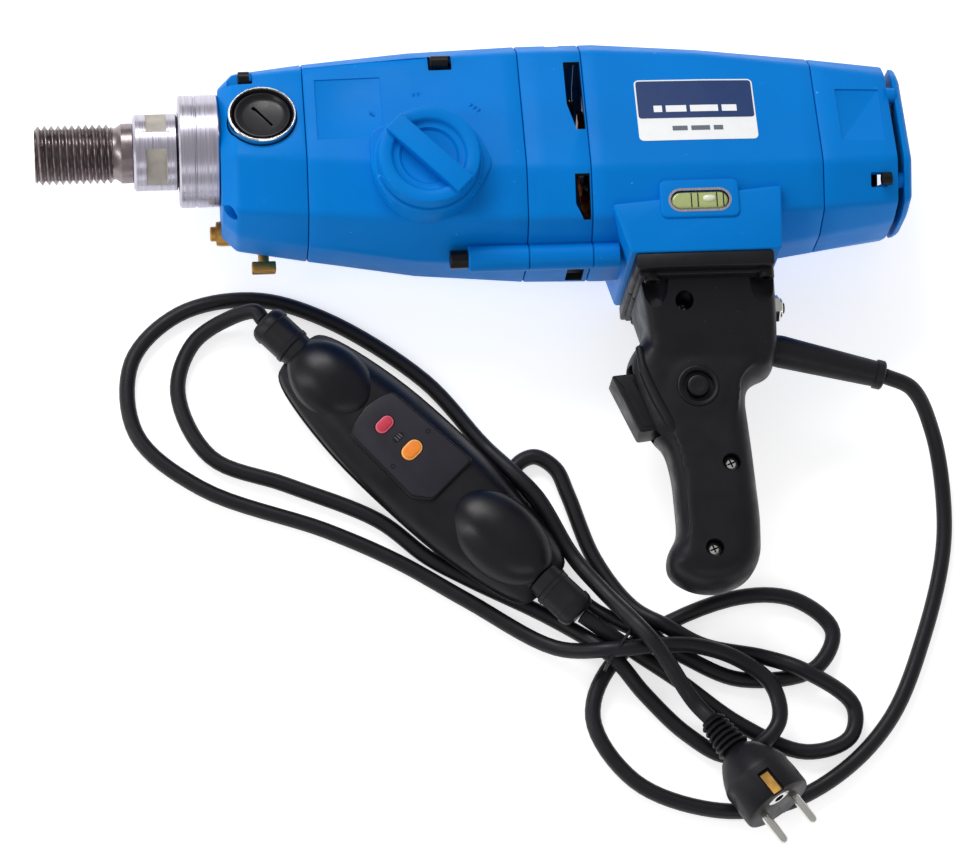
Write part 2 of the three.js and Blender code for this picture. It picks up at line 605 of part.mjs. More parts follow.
function handleSolid() {
  const grip = slab(outline(GRIP_OUTLINE), [-GRIP_HALF_WIDTH, GRIP_HALF_WIDTH], 6);
  const neck = hull([-1, 1].flatMap((side) => [
    [FLANGE_FRONT + 3, FLANGE_TOP - 4, side * 31], [FLANGE_REAR - 1, FLANGE_TOP - 4, side * 31],
    [325, -122, side * 17], [380, -126, side * 17], [386, -100, side * 24], [318, -108, side * 20],
  ]));
  const flange = box([FLANGE_FRONT, FLANGE_REAR], [FLANGE_TOP - FLANGE_THICKNESS, FLANGE_TOP],
    [-FLANGE_HALF_WIDTH, FLANGE_HALF_WIDTH]);
  const hollow = join(
    slab(outline(GRIP_CORE), [-14, 14], 3),
    hull([-1, 1].flatMap((side) => [
      [320, FLANGE_TOP + 1, side * 25], [381, FLANGE_TOP + 1, side * 25],
      [326, -118, side * 13], [378, -120, side * 13],
    ])));
  const window = [[296, -132], [330, -126], [330, -172], [310, -172]];
  const triggerWindow = hull([-11.6, 11.6].flatMap((z) => window.map(([x, y]) => [x, y, z])));
  return cut(join(grip, neck, flange), hollow, triggerWindow,
    bar('z', 8.5, [16.5, 20], LOCK_CENTRE, 24),
    bar('z', 6.3, [8, 20], LOCK_CENTRE, 20),
    bar('x', 5.3, [376, 395], BREAKER_CENTRE, 16),
    bar('x', RELIEF_RADIUS + 0.4, [376, 395], [RELIEF_ROOT[1], 0], 20),
    ...HANDLE_SCREWS.flatMap(([, x, y]) => [
      bar('z', 4.8, [12, 40], [x, y], 16), bar('z', 2.4, [-30, 40], [x, y], 10)]));
}

const nearHalf = (body) => body.intersect(box([280, 400], [-260, -70], [GAP / 2, 60]));
const farHalf = (body) => body.intersect(box([280, 400], [-260, -70], [-60, -GAP / 2]));

function handleScrew(x, y) {
  return join(bar('z', 4.2, [12.6, 15.4], [x, y], 16), bar('z', 2, [-11, 13], [x, y], 10));
}

function trigger() {
  const blade = slab(outline(TRIGGER_OUTLINE), [-11, 11], 1);
  const stem = box([310, 322], [-154, -142], [-5, 5]);
  return join(blade, stem);
}

const triggerSwitch = () => cut(
  hull([[327.5, -134], [360, -134], [360, -170], [338, -170]].flatMap(([x, y]) => [[x, y, -9], [x, y, 9]])),
  box([320, 331], [-157, -138], [-6, 6]));

function lockButton() {
  return join(bar('z', 6, [12, 20.5], LOCK_CENTRE, 20), bar('z', 7.6, [12, 13.6], LOCK_CENTRE, 20));
}

function breakerBody() {
  return cut(join(bar('x', 5, [366, 386], BREAKER_CENTRE, 16), bar('x', 7, [388.3, 392.5], BREAKER_CENTRE, 6),
    bar('x', 5, [385, 389], BREAKER_CENTRE, 16)), bar('x', 3.4, [378, 394], BREAKER_CENTRE, 16));
}

const breakerButton = () => bar('x', 3, [382, 395], BREAKER_CENTRE, 16);

// A lathe profile given along the line from one point to another.
function turnedBetween(profile, from, to, sides) {
  const geometry = new THREE.LatheGeometry(profile.map(([y, r]) => new THREE.Vector2(r, y)), sides);
  const direction = new THREE.Vector3().subVectors(new THREE.Vector3(...to), new THREE.Vector3(...from));
  const turn = new THREE.Quaternion().setFromUnitVectors(new THREE.Vector3(0, 1, 0), direction.normalize());
  geometry.applyQuaternion(turn).translate(...from);
  return solid(geometry);
}

function strainRelief() {
  const length = Math.hypot(...RELIEF_END.map((v, k) => v - RELIEF_ROOT[k]));
  const profile = [[-7, 0], [-7, 5.2], [2.2, 5.2], [2.2, RELIEF_RADIUS], [12, RELIEF_RADIUS],
    [length - 3, 6.6], [length - 3, 7.8], [length, 7.8], [length, 0]];
  return turnedBetween(profile, RELIEF_ROOT, RELIEF_END, 20);
}

// ---------------------------------------------------------------- water connection

// Brass inlet in the nose's front wall and the quarter-turn lever of its tap, both on the far side.
const INLET_CENTRE = [-40, -20];
const LEVER_PIVOT = [120, -18];
const waterInlet = () => join(bar('x', 6.3, [NOSE_FRONT - 4.5, NOSE_FRONT + 6], INLET_CENTRE, 20),
  bar('x', 4, [NOSE_FRONT - 7, NOSE_FRONT], INLET_CENTRE, 12));
function tapLever() {
  const [x, z] = LEVER_PIVOT;
  const handle = box([x - 6.5, x + 6.5], [-63.5, -57], [z - 3, z + 3]);
  return join(bar('y', 3, [-60, -45], LEVER_PIVOT, 12), handle);
}

// ---------------------------------------------------------------- assemble the tool

add('front_cap', frontCap(), BLUE);
add('gear_housing', gearHousing(), BLUE);
add('fan_housing', fanHousing(), BLUE);
add('motor_housing', motorHousing(), BLUE);
add('rear_cover', rearCover(), BLUE);
add('rear_cap', rearCap(), BLUE);
add('clamping_collar', clampingCollar(), MACHINED);
add('spindle', spindle(), STEEL);
add('spindle_seal', ring(12.8, 21, [77, 83.9], ON_SPINDLE), BLACK_RUBBER);
add('spindle_front_bearing', ring(12.8, 23.5, FRONT_BEARING, ON_SPINDLE), STEEL);
add('spindle_rear_bearing', ring(8.8, 17.5, REAR_SPINDLE_BEARING, ON_SPINDLE), STEEL);
add('spindle_low_gear',
  gear(LOW_GEAR_TEETH, SPEED_MODULE, LOW_GEAR, ON_SPINDLE, 180 / LOW_GEAR_TEETH, 12.8), STEEL);
add('spindle_high_gear',
  gear(HIGH_GEAR_TEETH, SPEED_MODULE, HIGH_GEAR, ON_SPINDLE, 180 / HIGH_GEAR_TEETH, 12.8), STEEL);
add('shift_sleeve', shiftSleeve(), STEEL);
add('shift_fork', shiftFork(), BRASS);
add('speed_knob', speedKnob(), BLUE);
add('countershaft', countershaft(), STEEL);
add('countershaft_drive_gear',
  gear(DRIVE_TEETH, MOTOR_MODULE, DRIVE_GEAR, ON_COUNTER, 180 / DRIVE_TEETH, 5.3), STEEL);
add('countershaft_front_bearing', ring(5.3, 11, COUNTER_BEARINGS[0], ON_COUNTER, 24), STEEL);
add('countershaft_rear_bearing', ring(5.3, 11, COUNTER_BEARINGS[1], ON_COUNTER, 24), STEEL);
add('armature_shaft', armatureShaft(), STEEL);
add('armature_core', armatureCore(), DARK_STEEL);
add('commutator', ring(6.3, 15, COMMUTATOR, ON_MOTOR, 24), COPPER);
add('cooling_fan', coolingFan(), BLACK_PLASTIC);
add('armature_front_bearing', ring(6.3, 16, ARMATURE_BEARINGS[0], ON_MOTOR, 28), STEEL);
add('armature_rear_bearing', ring(5.3, 15, ARMATURE_BEARINGS[1], ON_MOTOR, 28), STEEL);
add('stator_core', statorCore(), DARK_STEEL);
add('field_coil_near', fieldCoil(0), COPPER);
add('field_coil_far', fieldCoil(180), COPPER);
add('brush_holder_upper', brushHolder(1), BRASS);
add('brush_holder_lower', brushHolder(-1), BRASS);
add('carbon_brush_upper', carbonBrush(1), DARK_STEEL);
add('carbon_brush_lower', carbonBrush(-1), DARK_STEEL);
add('nose_cap_ring', noseCapRing(), MACHINED);
add('nose_cap', noseCap(), BLACK_PLASTIC);
add('bubble_level', bubbleLevel(), CLEAR);

const handle = handleSolid();
add('handle_near_shell', nearHalf(handle), BLACK_PLASTIC);
add('handle_far_shell', farHalf(handle), BLACK_PLASTIC);
add('trigger', trigger(), BLACK_PLASTIC);
add('trigger_switch', triggerSwitch(), BLACK_PLASTIC);
add('lock_button', lockButton(), BLACK_PLASTIC);
add('overload_breaker', breakerBody(), MACHINED);
add('overload_button', breakerButton(), MACHINED);
add('cord_strain_relief', strainRelief(), BLACK_RUBBER);
for (const [place, x, y] of HANDLE_SCREWS) add(`handle_screw_${place}`, handleScrew(x, y), MACHINED);
add('water_inlet', waterInlet(), BRASS);
add('water_tap_lever', tapLever(), BRASS);

// ---------------------------------------------------------------- in-line breaker

// Drawn along its own x, from the plug's cord to the tool's cord, and then turned into place.
const inlineBreaker = new THREE.Group();
inlineBreaker.position.set(-32.5, -69, 0);
inlineBreaker.rotation.z = THREE.MathUtils.degToRad(-46.3);
const addToBreaker = (name, body, material) => inlineBreaker.add(mesh(name, body, material));

const HALF_LENGTH = BREAKER_LENGTH / 2;
const BREAKER_SPLIT = 14;
const PANEL_TOP = 30;
const PANEL_CENTRE = -8;
const RED_CENTRE = -28;
const ORANGE_CENTRE = -8;
const GLAND_HEIGHT = 18;
const GLAND_LENGTH = 22;

// The breaker's outline: widest at the middle, narrowing to a gland at each end.
function breakerOutline(margin) {
  const half = BREAKER_WIDTH / 2 - margin;
  const end = HALF_LENGTH - margin;
  const tip = Math.max(3, 9 - margin);
  const side = [[-end, tip], [-0.95 * end, 0.6 * half], [-0.75 * end, 0.8 * half], [-0.4 * end, 0.96 * half],
    [0, half], [0.4 * end, 0.96 * half], [0.75 * end, 0.8 * half], [0.95 * end, 0.6 * half], [end, tip]];
  return outline([...side, ...side.map(([x, y]) => [x, -y]).toReversed()]);
}

function stadium([x, y], length, width, [z0, z1]) {
  const radius = width / 2;
  const half = length / 2 - radius;
  const shape = new THREE.Shape();
  shape.absarc(x, y + half, radius, 0, Math.PI);
  shape.absarc(x, y - half, radius, Math.PI, 2 * Math.PI);
  return slab(shape, [z0, z1]);
}

function dome(x, radii) {
  const geometry = new THREE.SphereGeometry(1, 20, 12);
  geometry.scale(...radii).translate(x, 0, 19);
  return solid(geometry);
}

// The base is shaped like a boat, so that cord can pass under its ends.
function breakerBase() {
  const keel = breakerOutline(0).getPoints().map((p) => [0.42 * p.x, 0.55 * p.y, 0]);
  const rail = [11.5, BREAKER_SPLIT].flatMap((z) =>
    breakerOutline(z < BREAKER_SPLIT ? 1 : 0).getPoints().map((p) => [p.x, p.y, z]));
  return cut(hull([...keel, ...rail]), slab(breakerOutline(5), [12.5, BREAKER_SPLIT + 1]),
    box([-36, 36], [-12, 12], [4, BREAKER_SPLIT]));
}

function breakerCover() {
  const above = box([-HALF_LENGTH, HALF_LENGTH], [-40, 40], [BREAKER_SPLIT + GAP, BREAKER_HEIGHT + 5]);
  const shell = join(slab(breakerOutline(2), [BREAKER_SPLIT - 4, 27], 4),
    box([PANEL_CENTRE - 28, PANEL_CENTRE + 28], [-20, 20], [20, PANEL_TOP]),
    dome(-65, [27, 20, 16]), dome(58, [30, 21, 17]));
  return cut(shell.intersect(above),
    slab(breakerOutline(6), [BREAKER_SPLIT - 1, 23], 1),
    stadium([RED_CENTRE, 0], 11.6, 7.6, [20, 40]),
    stadium([ORANGE_CENTRE, 0], 13.1, 9.1, [20, 40]));
}

const gland = (side) => turnedBetween(
  [[0, 0], [0, 9], [4, 10.5], [GLAND_LENGTH - 6, 10], [GLAND_LENGTH, 8], [GLAND_LENGTH, 0]],
  [side * (HALF_LENGTH + GAP), 0, GLAND_HEIGHT], [side * (HALF_LENGTH + 50), 0, GLAND_HEIGHT], 20);

addToBreaker('breaker_base', breakerBase(), BLACK_PLASTIC);
addToBreaker('breaker_cover', breakerCover(), BLACK_PLASTIC);
addToBreaker('breaker_off_button', stadium([RED_CENTRE, 0], 11, 7, [24, PANEL_TOP + 1.5]), RED);
addToBreaker('breaker_on_button', stadium([ORANGE_CENTRE, 0], 12.5, 8.5, [24, PANEL_TOP + 1.5]), ORANGE);
addToBreaker('breaker_gland_plug_end', gland(-1), BLACK_RUBBER);
addToBreaker('breaker_gland_tool_end', gland(1), BLACK_RUBBER);

// ---------------------------------------------------------------- plug

// Drawn along its own x from the boot's mouth to the face, lying tilted on a strand of cord.
const plug = new THREE.Group();
plug.position.set(113, -212.5, 17);
plug.rotation.order = 'ZYX';
plug.rotation.set(0, THREE.MathUtils.degToRad(-12), THREE.MathUtils.degToRad(-58));
const PLUG_LENGTH = 59.4;

function plugBody() {
  const radius = PLUG_DIAMETER / 2;
  const body = turned([
    [0, 0], [0, 6.2], [22, 8.5], [25, 12], [33, 16.5], [38, radius - 0.6], [40, radius],
    [PLUG_LENGTH - 1.5, radius], [PLUG_LENGTH, radius - 1.5], [PLUG_LENGTH, 0],
  ], [0, 0], 28);
  const grooves = [-1, 1].map((side) =>
    box([44, PLUG_LENGTH + 1], [-3.5, 3.5], side > 0 ? [radius - 3, radius + 1] : [-radius - 1, 3 - radius]));
  const sockets = [-1, 1].map((side) =>
    bar('x', PIN_DIAMETER / 2 + GAP, [PLUG_LENGTH - 8, PLUG_LENGTH + 1], [side * PIN_SPACING / 2, 0], 16));
  return cut(body, ...grooves, ...sockets);
}

const plugPin = (side) => turned([
  [PLUG_LENGTH - 7.5, 0], [PLUG_LENGTH - 7.5, PIN_DIAMETER / 2],
  [PLUG_LENGTH + PIN_LENGTH - 1.5, PIN_DIAMETER / 2],
  [PLUG_LENGTH + PIN_LENGTH, 1.4], [PLUG_LENGTH + PIN_LENGTH, 0],
], [side * PIN_SPACING / 2, 0], 16);

plug.add(mesh('plug_body', plugBody(), BLACK_PLASTIC));
plug.add(mesh('plug_pin_left', plugPin(-1), MACHINED));
plug.add(mesh('plug_pin_right', plugPin(1), MACHINED));

// ---------------------------------------------------------------- cords

// The tool's cord: out of the strain relief, down to the floor, under the plug, and through the
// tied crossing three times on its way to the breaker.
const TOOL_CORD_ROUTE = [
  [216, -33.7, 39.9], [231, -40, 35.5], [243, -60, 19], [248, -90, 7.5], [246, -122, 4.6],
  [232, -168, 4.6], [211, -212, 4.6], [183, -240, 4.6], [148, -257, 4.6], [112, -258, 4.6],
  [72, -241, 4.6], [52, -206, 4.6], [67, -174, 4.6], [129, -144.5, 4.6], [164, -146, 4.6],
  [183, -164, 4.6], [172, -184, 4.6], [132, -188.5, 4.6], [102, -175.5, 8], [83, -164.5, 13.3],
  [54.2, -146.6, 6], [36.3, -125, 4.6], [25.7, -90.8, 4.6], [17, -78, 4.6], [19, -67, 4.6],
  [29, -62, 4.6], [40, -69, 4.6], [46, -84, 4.6], [58, -120, 4.9], [76, -148, 9], [93, -160, 13.4],
  [114, -169.5, 4.6], [146, -178, 8], [166, -187.5, 13.4], [191, -205, 4.9], [188, -222, 4.6],
  [164, -229, 4.6], [130, -213, 4.6], [98, -188, 7], [73, -171.5, 13.3], [48.3, -153.5, 18],
];

// The plug's cord: out of the breaker, round the two big turns on the left and over the crossing.
const PLUG_CORD_ROUTE = [
  [-113.5, 15.7, 18], [-117.1, 20.3, 17.4], [-132, 18.5, 11], [-151, 7, 5.1], [-160, -20, 4.6],
  [-144, -56, 4.6], [-104, -73, 4.6], [-56.1, -94.4, 4.6], [-30.7, -115.7, 4.6], [-8.4, -129, 4.6],
  [33.9, -152.1, 5.4], [63, -175.5, 14.8], [80, -195, 7], [101, -217, 5.3], [122, -229.5, 5],
  [141, -224.3, 14], [150, -212, 13.4], [147, -194, 13.4], [130, -179.5, 14], [106, -172, 17.5],
  [82, -172.5, 22.4], [62, -174, 23.8], [34, -169, 10.5], [-11, -140, 4.6], [-47.5, -117, 4.6],
  [-84, -99, 4.6], [-150, -73, 4.6], [-183, -42, 4.6], [-184, -2, 4.6], [-158, 24, 4.6], [-118, 31, 4.6],
  [-80, 19, 4.6], [-27.8, -17.5, 4.6], [1.8, -55.6, 8], [17.3, -74, 14], [29, -87.7, 13.8],
  [45.6, -118.9, 11], [60.3, -140.8, 18], [84, -173, 31.2], [105, -202, 15], [112.6, -211.6, 16.7],
];

const CORD_STEPS = 66;
function cord(name, points) {
  const path = new THREE.CatmullRomCurve3(points.map((p) => new THREE.Vector3(...p)));
  path.arcLengthDivisions = 2000;
  const corners = Array.from({ length: CORD_SIDES }, (_, k) => {
    const angle = 2 * Math.PI * k / CORD_SIDES;
    return [CORD_DIAMETER / 2 * Math.cos(angle), CORD_DIAMETER / 2 * Math.sin(angle)];
  });
  const geometry = new THREE.ExtrudeGeometry(outline(corners), { steps: CORD_STEPS, extrudePath: path });
  return mesh(name, solid(geometry), BLACK_RUBBER);
}

const object = new THREE.Group();
object.add(tool, inlineBreaker, plug);
object.add(cord('cord_tool', TOOL_CORD_ROUTE), cord('cord_plug', PLUG_CORD_ROUTE));

export default object;
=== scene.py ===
"""Looks of a hand-held wet core drill with its cord, in-line breaker and plug.

Shapes are written in millimetres in the part's own groups (tool, breaker, plug) and are
placed in the shared frame, which is in metres, by TOOL, BREAKER and PLUG.
"""

import math

import bmesh
import bpy
from mathutils import Matrix, Vector


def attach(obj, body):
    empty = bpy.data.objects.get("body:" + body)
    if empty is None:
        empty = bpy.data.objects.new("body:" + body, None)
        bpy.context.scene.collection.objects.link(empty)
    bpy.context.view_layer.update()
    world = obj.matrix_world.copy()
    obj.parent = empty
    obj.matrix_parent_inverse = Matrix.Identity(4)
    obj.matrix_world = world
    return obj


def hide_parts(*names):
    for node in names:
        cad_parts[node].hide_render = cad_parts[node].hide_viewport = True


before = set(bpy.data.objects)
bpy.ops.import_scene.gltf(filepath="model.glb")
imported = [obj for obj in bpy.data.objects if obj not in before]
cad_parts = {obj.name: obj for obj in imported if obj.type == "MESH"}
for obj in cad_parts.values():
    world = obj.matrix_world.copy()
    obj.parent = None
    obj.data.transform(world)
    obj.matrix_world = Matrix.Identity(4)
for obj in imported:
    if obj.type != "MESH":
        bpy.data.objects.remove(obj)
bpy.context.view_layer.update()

# ---------------------------------------------------------------- places

MM = Matrix.Scale(0.001, 4)
TOOL = Matrix.Translation((-0.232, 0.1015, 0.047)) @ MM
BREAKER = Matrix.Translation((-0.0325, -0.069, 0)) @ Matrix.Rotation(math.radians(-46.3), 4, "Z") @ MM
PLUG = (
    Matrix.Translation((0.113, -0.2125, 0.017))
    @ Matrix.Rotation(math.radians(-58), 4, "Z")
    @ Matrix.Rotation(math.radians(-12), 4, "Y")
    @ MM
)
CORD_DIAMETER = 0.0085

# Route points of the two cords, in metres: the same points as the part's own cord solids.
TOOL_CORD_ROUTE = [
    (0.216, -0.0337, 0.0399), (0.231, -0.04, 0.0355), (0.243, -0.06, 0.019), (0.248, -0.09, 0.0075),
    (0.246, -0.122, 0.0046), (0.232, -0.168, 0.0046), (0.211, -0.212, 0.0046), (0.183, -0.24, 0.0046),
    (0.148, -0.257, 0.0046), (0.112, -0.258, 0.0046), (0.072, -0.241, 0.0046), (0.052, -0.206, 0.0046),
    (0.067, -0.174, 0.0046), (0.129, -0.1445, 0.0046), (0.164, -0.146, 0.0046), (0.183, -0.164, 0.0046),
    (0.172, -0.184, 0.0046), (0.132, -0.1885, 0.0046), (0.102, -0.1755, 0.008), (0.083, -0.1645, 0.0133),
    (0.0542, -0.1466, 0.006), (0.0363, -0.125, 0.0046), (0.0257, -0.0908, 0.0046), (0.017, -0.078, 0.0046),
    (0.019, -0.067, 0.0046), (0.029, -0.062, 0.0046), (0.04, -0.069, 0.0046), (0.046, -0.084, 0.0046),
    (0.058, -0.12, 0.0049), (0.076, -0.148, 0.009), (0.093, -0.16, 0.0134), (0.114, -0.1695, 0.0046),
    (0.146, -0.178, 0.008), (0.166, -0.1875, 0.0134), (0.191, -0.205, 0.0049), (0.188, -0.222, 0.0046),
    (0.164, -0.229, 0.0046), (0.13, -0.213, 0.0046), (0.098, -0.188, 0.007), (0.073, -0.1715, 0.0133),
    (0.0483, -0.1535, 0.018),
]
PLUG_CORD_ROUTE = [
    (-0.1135, 0.0157, 0.018), (-0.1171, 0.0203, 0.0174), (-0.132, 0.0185, 0.011), (-0.151, 0.007, 0.0051),
    (-0.16, -0.02, 0.0046), (-0.144, -0.056, 0.0046), (-0.104, -0.073, 0.0046), (-0.0561, -0.0944, 0.0046),
    (-0.0307, -0.1157, 0.0046), (-0.0084, -0.129, 0.0046), (0.0339, -0.1521, 0.0054),
    (0.063, -0.1755, 0.0148), (0.08, -0.195, 0.007), (0.101, -0.217, 0.0053), (0.122, -0.2295, 0.005),
    (0.141, -0.2243, 0.014), (0.15, -0.212, 0.0134), (0.147, -0.194, 0.0134), (0.13, -0.1795, 0.014),
    (0.106, -0.172, 0.0175), (0.082, -0.1725, 0.0224), (0.062, -0.174, 0.0238), (0.034, -0.169, 0.0105),
    (-0.011, -0.14, 0.0046), (-0.0475, -0.117, 0.0046), (-0.084, -0.099, 0.0046), (-0.15, -0.073, 0.0046),
    (-0.183, -0.042, 0.0046), (-0.184, -0.002, 0.0046), (-0.158, 0.024, 0.0046), (-0.118, 0.031, 0.0046),
    (-0.08, 0.019, 0.0046), (-0.0278, -0.0175, 0.0046), (0.0018, -0.0556, 0.008), (0.0173, -0.074, 0.014),
    (0.029, -0.0877, 0.0138), (0.0456, -0.1189, 0.011), (0.0603, -0.1408, 0.018), (0.084, -0.173, 0.0312),
    (0.105, -0.202, 0.015), (0.1126, -0.2116, 0.0167),
]

# ---------------------------------------------------------------- camera, light and floor


def make_camera():
    """Looks down at the flat-lying tool from the angle of a studio copy stand."""
    swing, lean, roll = math.radians(5.0), math.radians(15.942), math.radians(3.277)
    distance = 2.5
    target = Vector((0.0022, -0.0601, 0.047))
    back = Vector((-math.sin(swing) * math.cos(lean), -math.sin(lean), math.cos(swing) * math.cos(lean)))
    level = Vector((math.cos(swing), 0, math.sin(swing)))
    upright = back.cross(level)
    right = level * math.cos(roll) - upright * math.sin(roll)
    up = upright * math.cos(roll) + level * math.sin(roll)
    data = bpy.data.cameras.new("camera")
    data.lens = 174.44
    data.sensor_width = 36
    camera = bpy.data.objects.new("camera", data)
    turn = Matrix((right, up, back)).transposed().to_4x4()
    camera.matrix_world = Matrix.Translation(target + distance * back) @ turn
    bpy.context.collection.objects.link(camera)
    bpy.context.scene.camera = camera


def area_light(name, place, aim, size, power):
    data = bpy.data.lights.new(name, "AREA")
    data.shape = "RECTANGLE"
    data.size, data.size_y = size
    data.energy = power
    lamp = bpy.data.objects.new(name, data)
    lamp.location = place
    lamp.rotation_euler = (Vector(aim) - Vector(place)).to_track_quat("-Z", "Y").to_euler()
    bpy.context.collection.objects.link(lamp)


def make_studio():
    world = bpy.data.worlds.new("studio")
    world.use_nodes = True
    world.node_tree.nodes["Background"].inputs["Color"].default_value = (1, 1, 1, 1)
    world.node_tree.nodes["Background"].inputs["Strength"].default_value = 0.46
    bpy.context.scene.world = world
    bpy.context.scene.view_settings.view_transform = "Standard"
    area_light("key", (-0.5, 1.2, 1.35), (0, 0, 0), (1.2, 0.5), 19)
    area_light("fill", (0.3, -1.4, 1.1), (0, 0, 0), (1.6, 0.4), 2.5)
    area_light("strip", (-1.3, -0.1, 0.7), (-0.1, 0, 0), (0.3, 1.2), 5)
    floor_mesh = bpy.data.meshes.new("floor")
    reach = 6
    floor_mesh.from_pydata(
        [(-reach, -reach, 0), (reach, -reach, 0), (reach, reach, 0), (-reach, reach, 0)], [], [(0, 1, 2, 3)]
    )
    floor = bpy.data.objects.new("floor", floor_mesh)
    floor.data.materials.append(plain_floor())
    bpy.context.collection.objects.link(floor)


def plain_floor():
    material = bpy.data.materials.new("floor")
    material.use_nodes = True
    shader = material.node_tree.nodes["Principled BSDF"]
    shader.inputs["Base Color"].default_value = (0.72, 0.72, 0.72, 1)
    shader.inputs["Roughness"].default_value = 0.8
    shader.inputs["Specular IOR Level"].default_value = 0.1
    shader.inputs["Emission Color"].default_value = (1, 1, 1, 1)
    shader.inputs["Emission Strength"].default_value = 0.66
    return material


# ---------------------------------------------------------------- materials


def linear(colour):
    """A colour given as 0..255 screen values, as the linear values that a shader takes."""
    parts = [c / 255 for c in colour]
    return tuple(p / 12.92 if p <= 0.04045 else ((p + 0.055) / 1.055) ** 2.4 for p in parts) + (1,)


def shade_of(colour, factor):
    return tuple(min(1, c * factor) for c in colour[:3]) + (1,)


class Surface:
    """Builds one material's nodes: mottled colour, uneven gloss, fine grain and specks."""

    def __init__(self, name, colour, roughness, metallic=0.0, coat=0.0, specular=0.4):
        self.material = bpy.data.materials.new(name)
        self.material.use_nodes = True
        self.nodes = self.material.node_tree.nodes
        self.links = self.material.node_tree.links
        self.shader = self.nodes["Principled BSDF"]
        self.colour = linear(colour)
        self.roughness = roughness
        self.shader.inputs["Base Color"].default_value = self.colour
        self.shader.inputs["Roughness"].default_value = roughness
        self.shader.inputs["Metallic"].default_value = metallic
        self.shader.inputs["Coat Weight"].default_value = coat
        self.shader.inputs["Coat Roughness"].default_value = 0.15
        self.shader.inputs["Specular IOR Level"].default_value = specular
        self.coords = self.nodes.new("ShaderNodeTexCoord")

    def noise(self, scale, detail, stretch=None):
        texture = self.nodes.new("ShaderNodeTexNoise")
        texture.inputs["Scale"].default_value = scale
        texture.inputs["Detail"].default_value = detail
        place = self.coords.outputs["Object"]
        if stretch:
            mapping = self.nodes.new("ShaderNodeMapping")
            mapping.inputs["Scale"].default_value = stretch
            self.links.new(place, mapping.inputs["Vector"])
            place = mapping.outputs["Vector"]
        self.links.new(place, texture.inputs["Vector"])
        return texture.outputs["Fac"]

    def spread(self, value, low, high, start=0.3, end=0.7):
        """Maps a value from start..end to low..high."""
        span = self.nodes.new("ShaderNodeMapRange")
        span.inputs["From Min"].default_value = start
        span.inputs["From Max"].default_value = end
        span.inputs["To Min"].default_value = low
        span.inputs["To Max"].default_value = high
        self.links.new(value, span.inputs["Value"])
        return span.outputs["Result"]

    def blend(self, mask, first, second):
        """Second colour over the first where the mask is 1; either may be a socket or a colour."""
        mixer = self.nodes.new("ShaderNodeMix")
        mixer.data_type = "RGBA"
        self.links.new(mask, mixer.inputs["Factor"])
        for value, socket in ((first, mixer.inputs[6]), (second, mixer.inputs[7])):
            if isinstance(value, tuple):
                socket.default_value = value
            else:
                self.links.new(value, socket)
        self.links.new(mixer.outputs[2], self.shader.inputs["Base Color"])
        return mixer.outputs[2]

    def mottle(self, amount, scale, stretch=None):
        mask = self.spread(self.noise(scale, 5, stretch), 0, 1)
        self.tone = self.blend(mask, shade_of(self.colour, 1 - amount), shade_of(self.colour, 1 + amount))
        return self

    def uneven_gloss(self, amount, scale, stretch=None):
        low, high = max(0.02, self.roughness - amount), self.roughness + amount
        self.links.new(self.spread(self.noise(scale, 6, stretch), low, high), self.shader.inputs["Roughness"])
        return self

    def grain(self, depth, scale, strength=0.6, stretch=None):
        bump = self.nodes.new("ShaderNodeBump")
        bump.inputs["Distance"].default_value = depth
        bump.inputs["Strength"].default_value = strength
        self.links.new(self.noise(scale, 3, stretch), bump.inputs["Height"])
        self.links.new(bump.outputs["Normal"], self.shader.inputs["Normal"])
        return self

    def specks(self, colour, scale, cover):
        """Small dust or scuff flecks: cover runs from 0, none, to 1, everywhere."""
        mask = self.spread(self.noise(scale, 8), 0, 1, 1 - cover, 1.02 - cover)
        self.tone = self.blend(mask, self.tone, linear(colour))
        return self


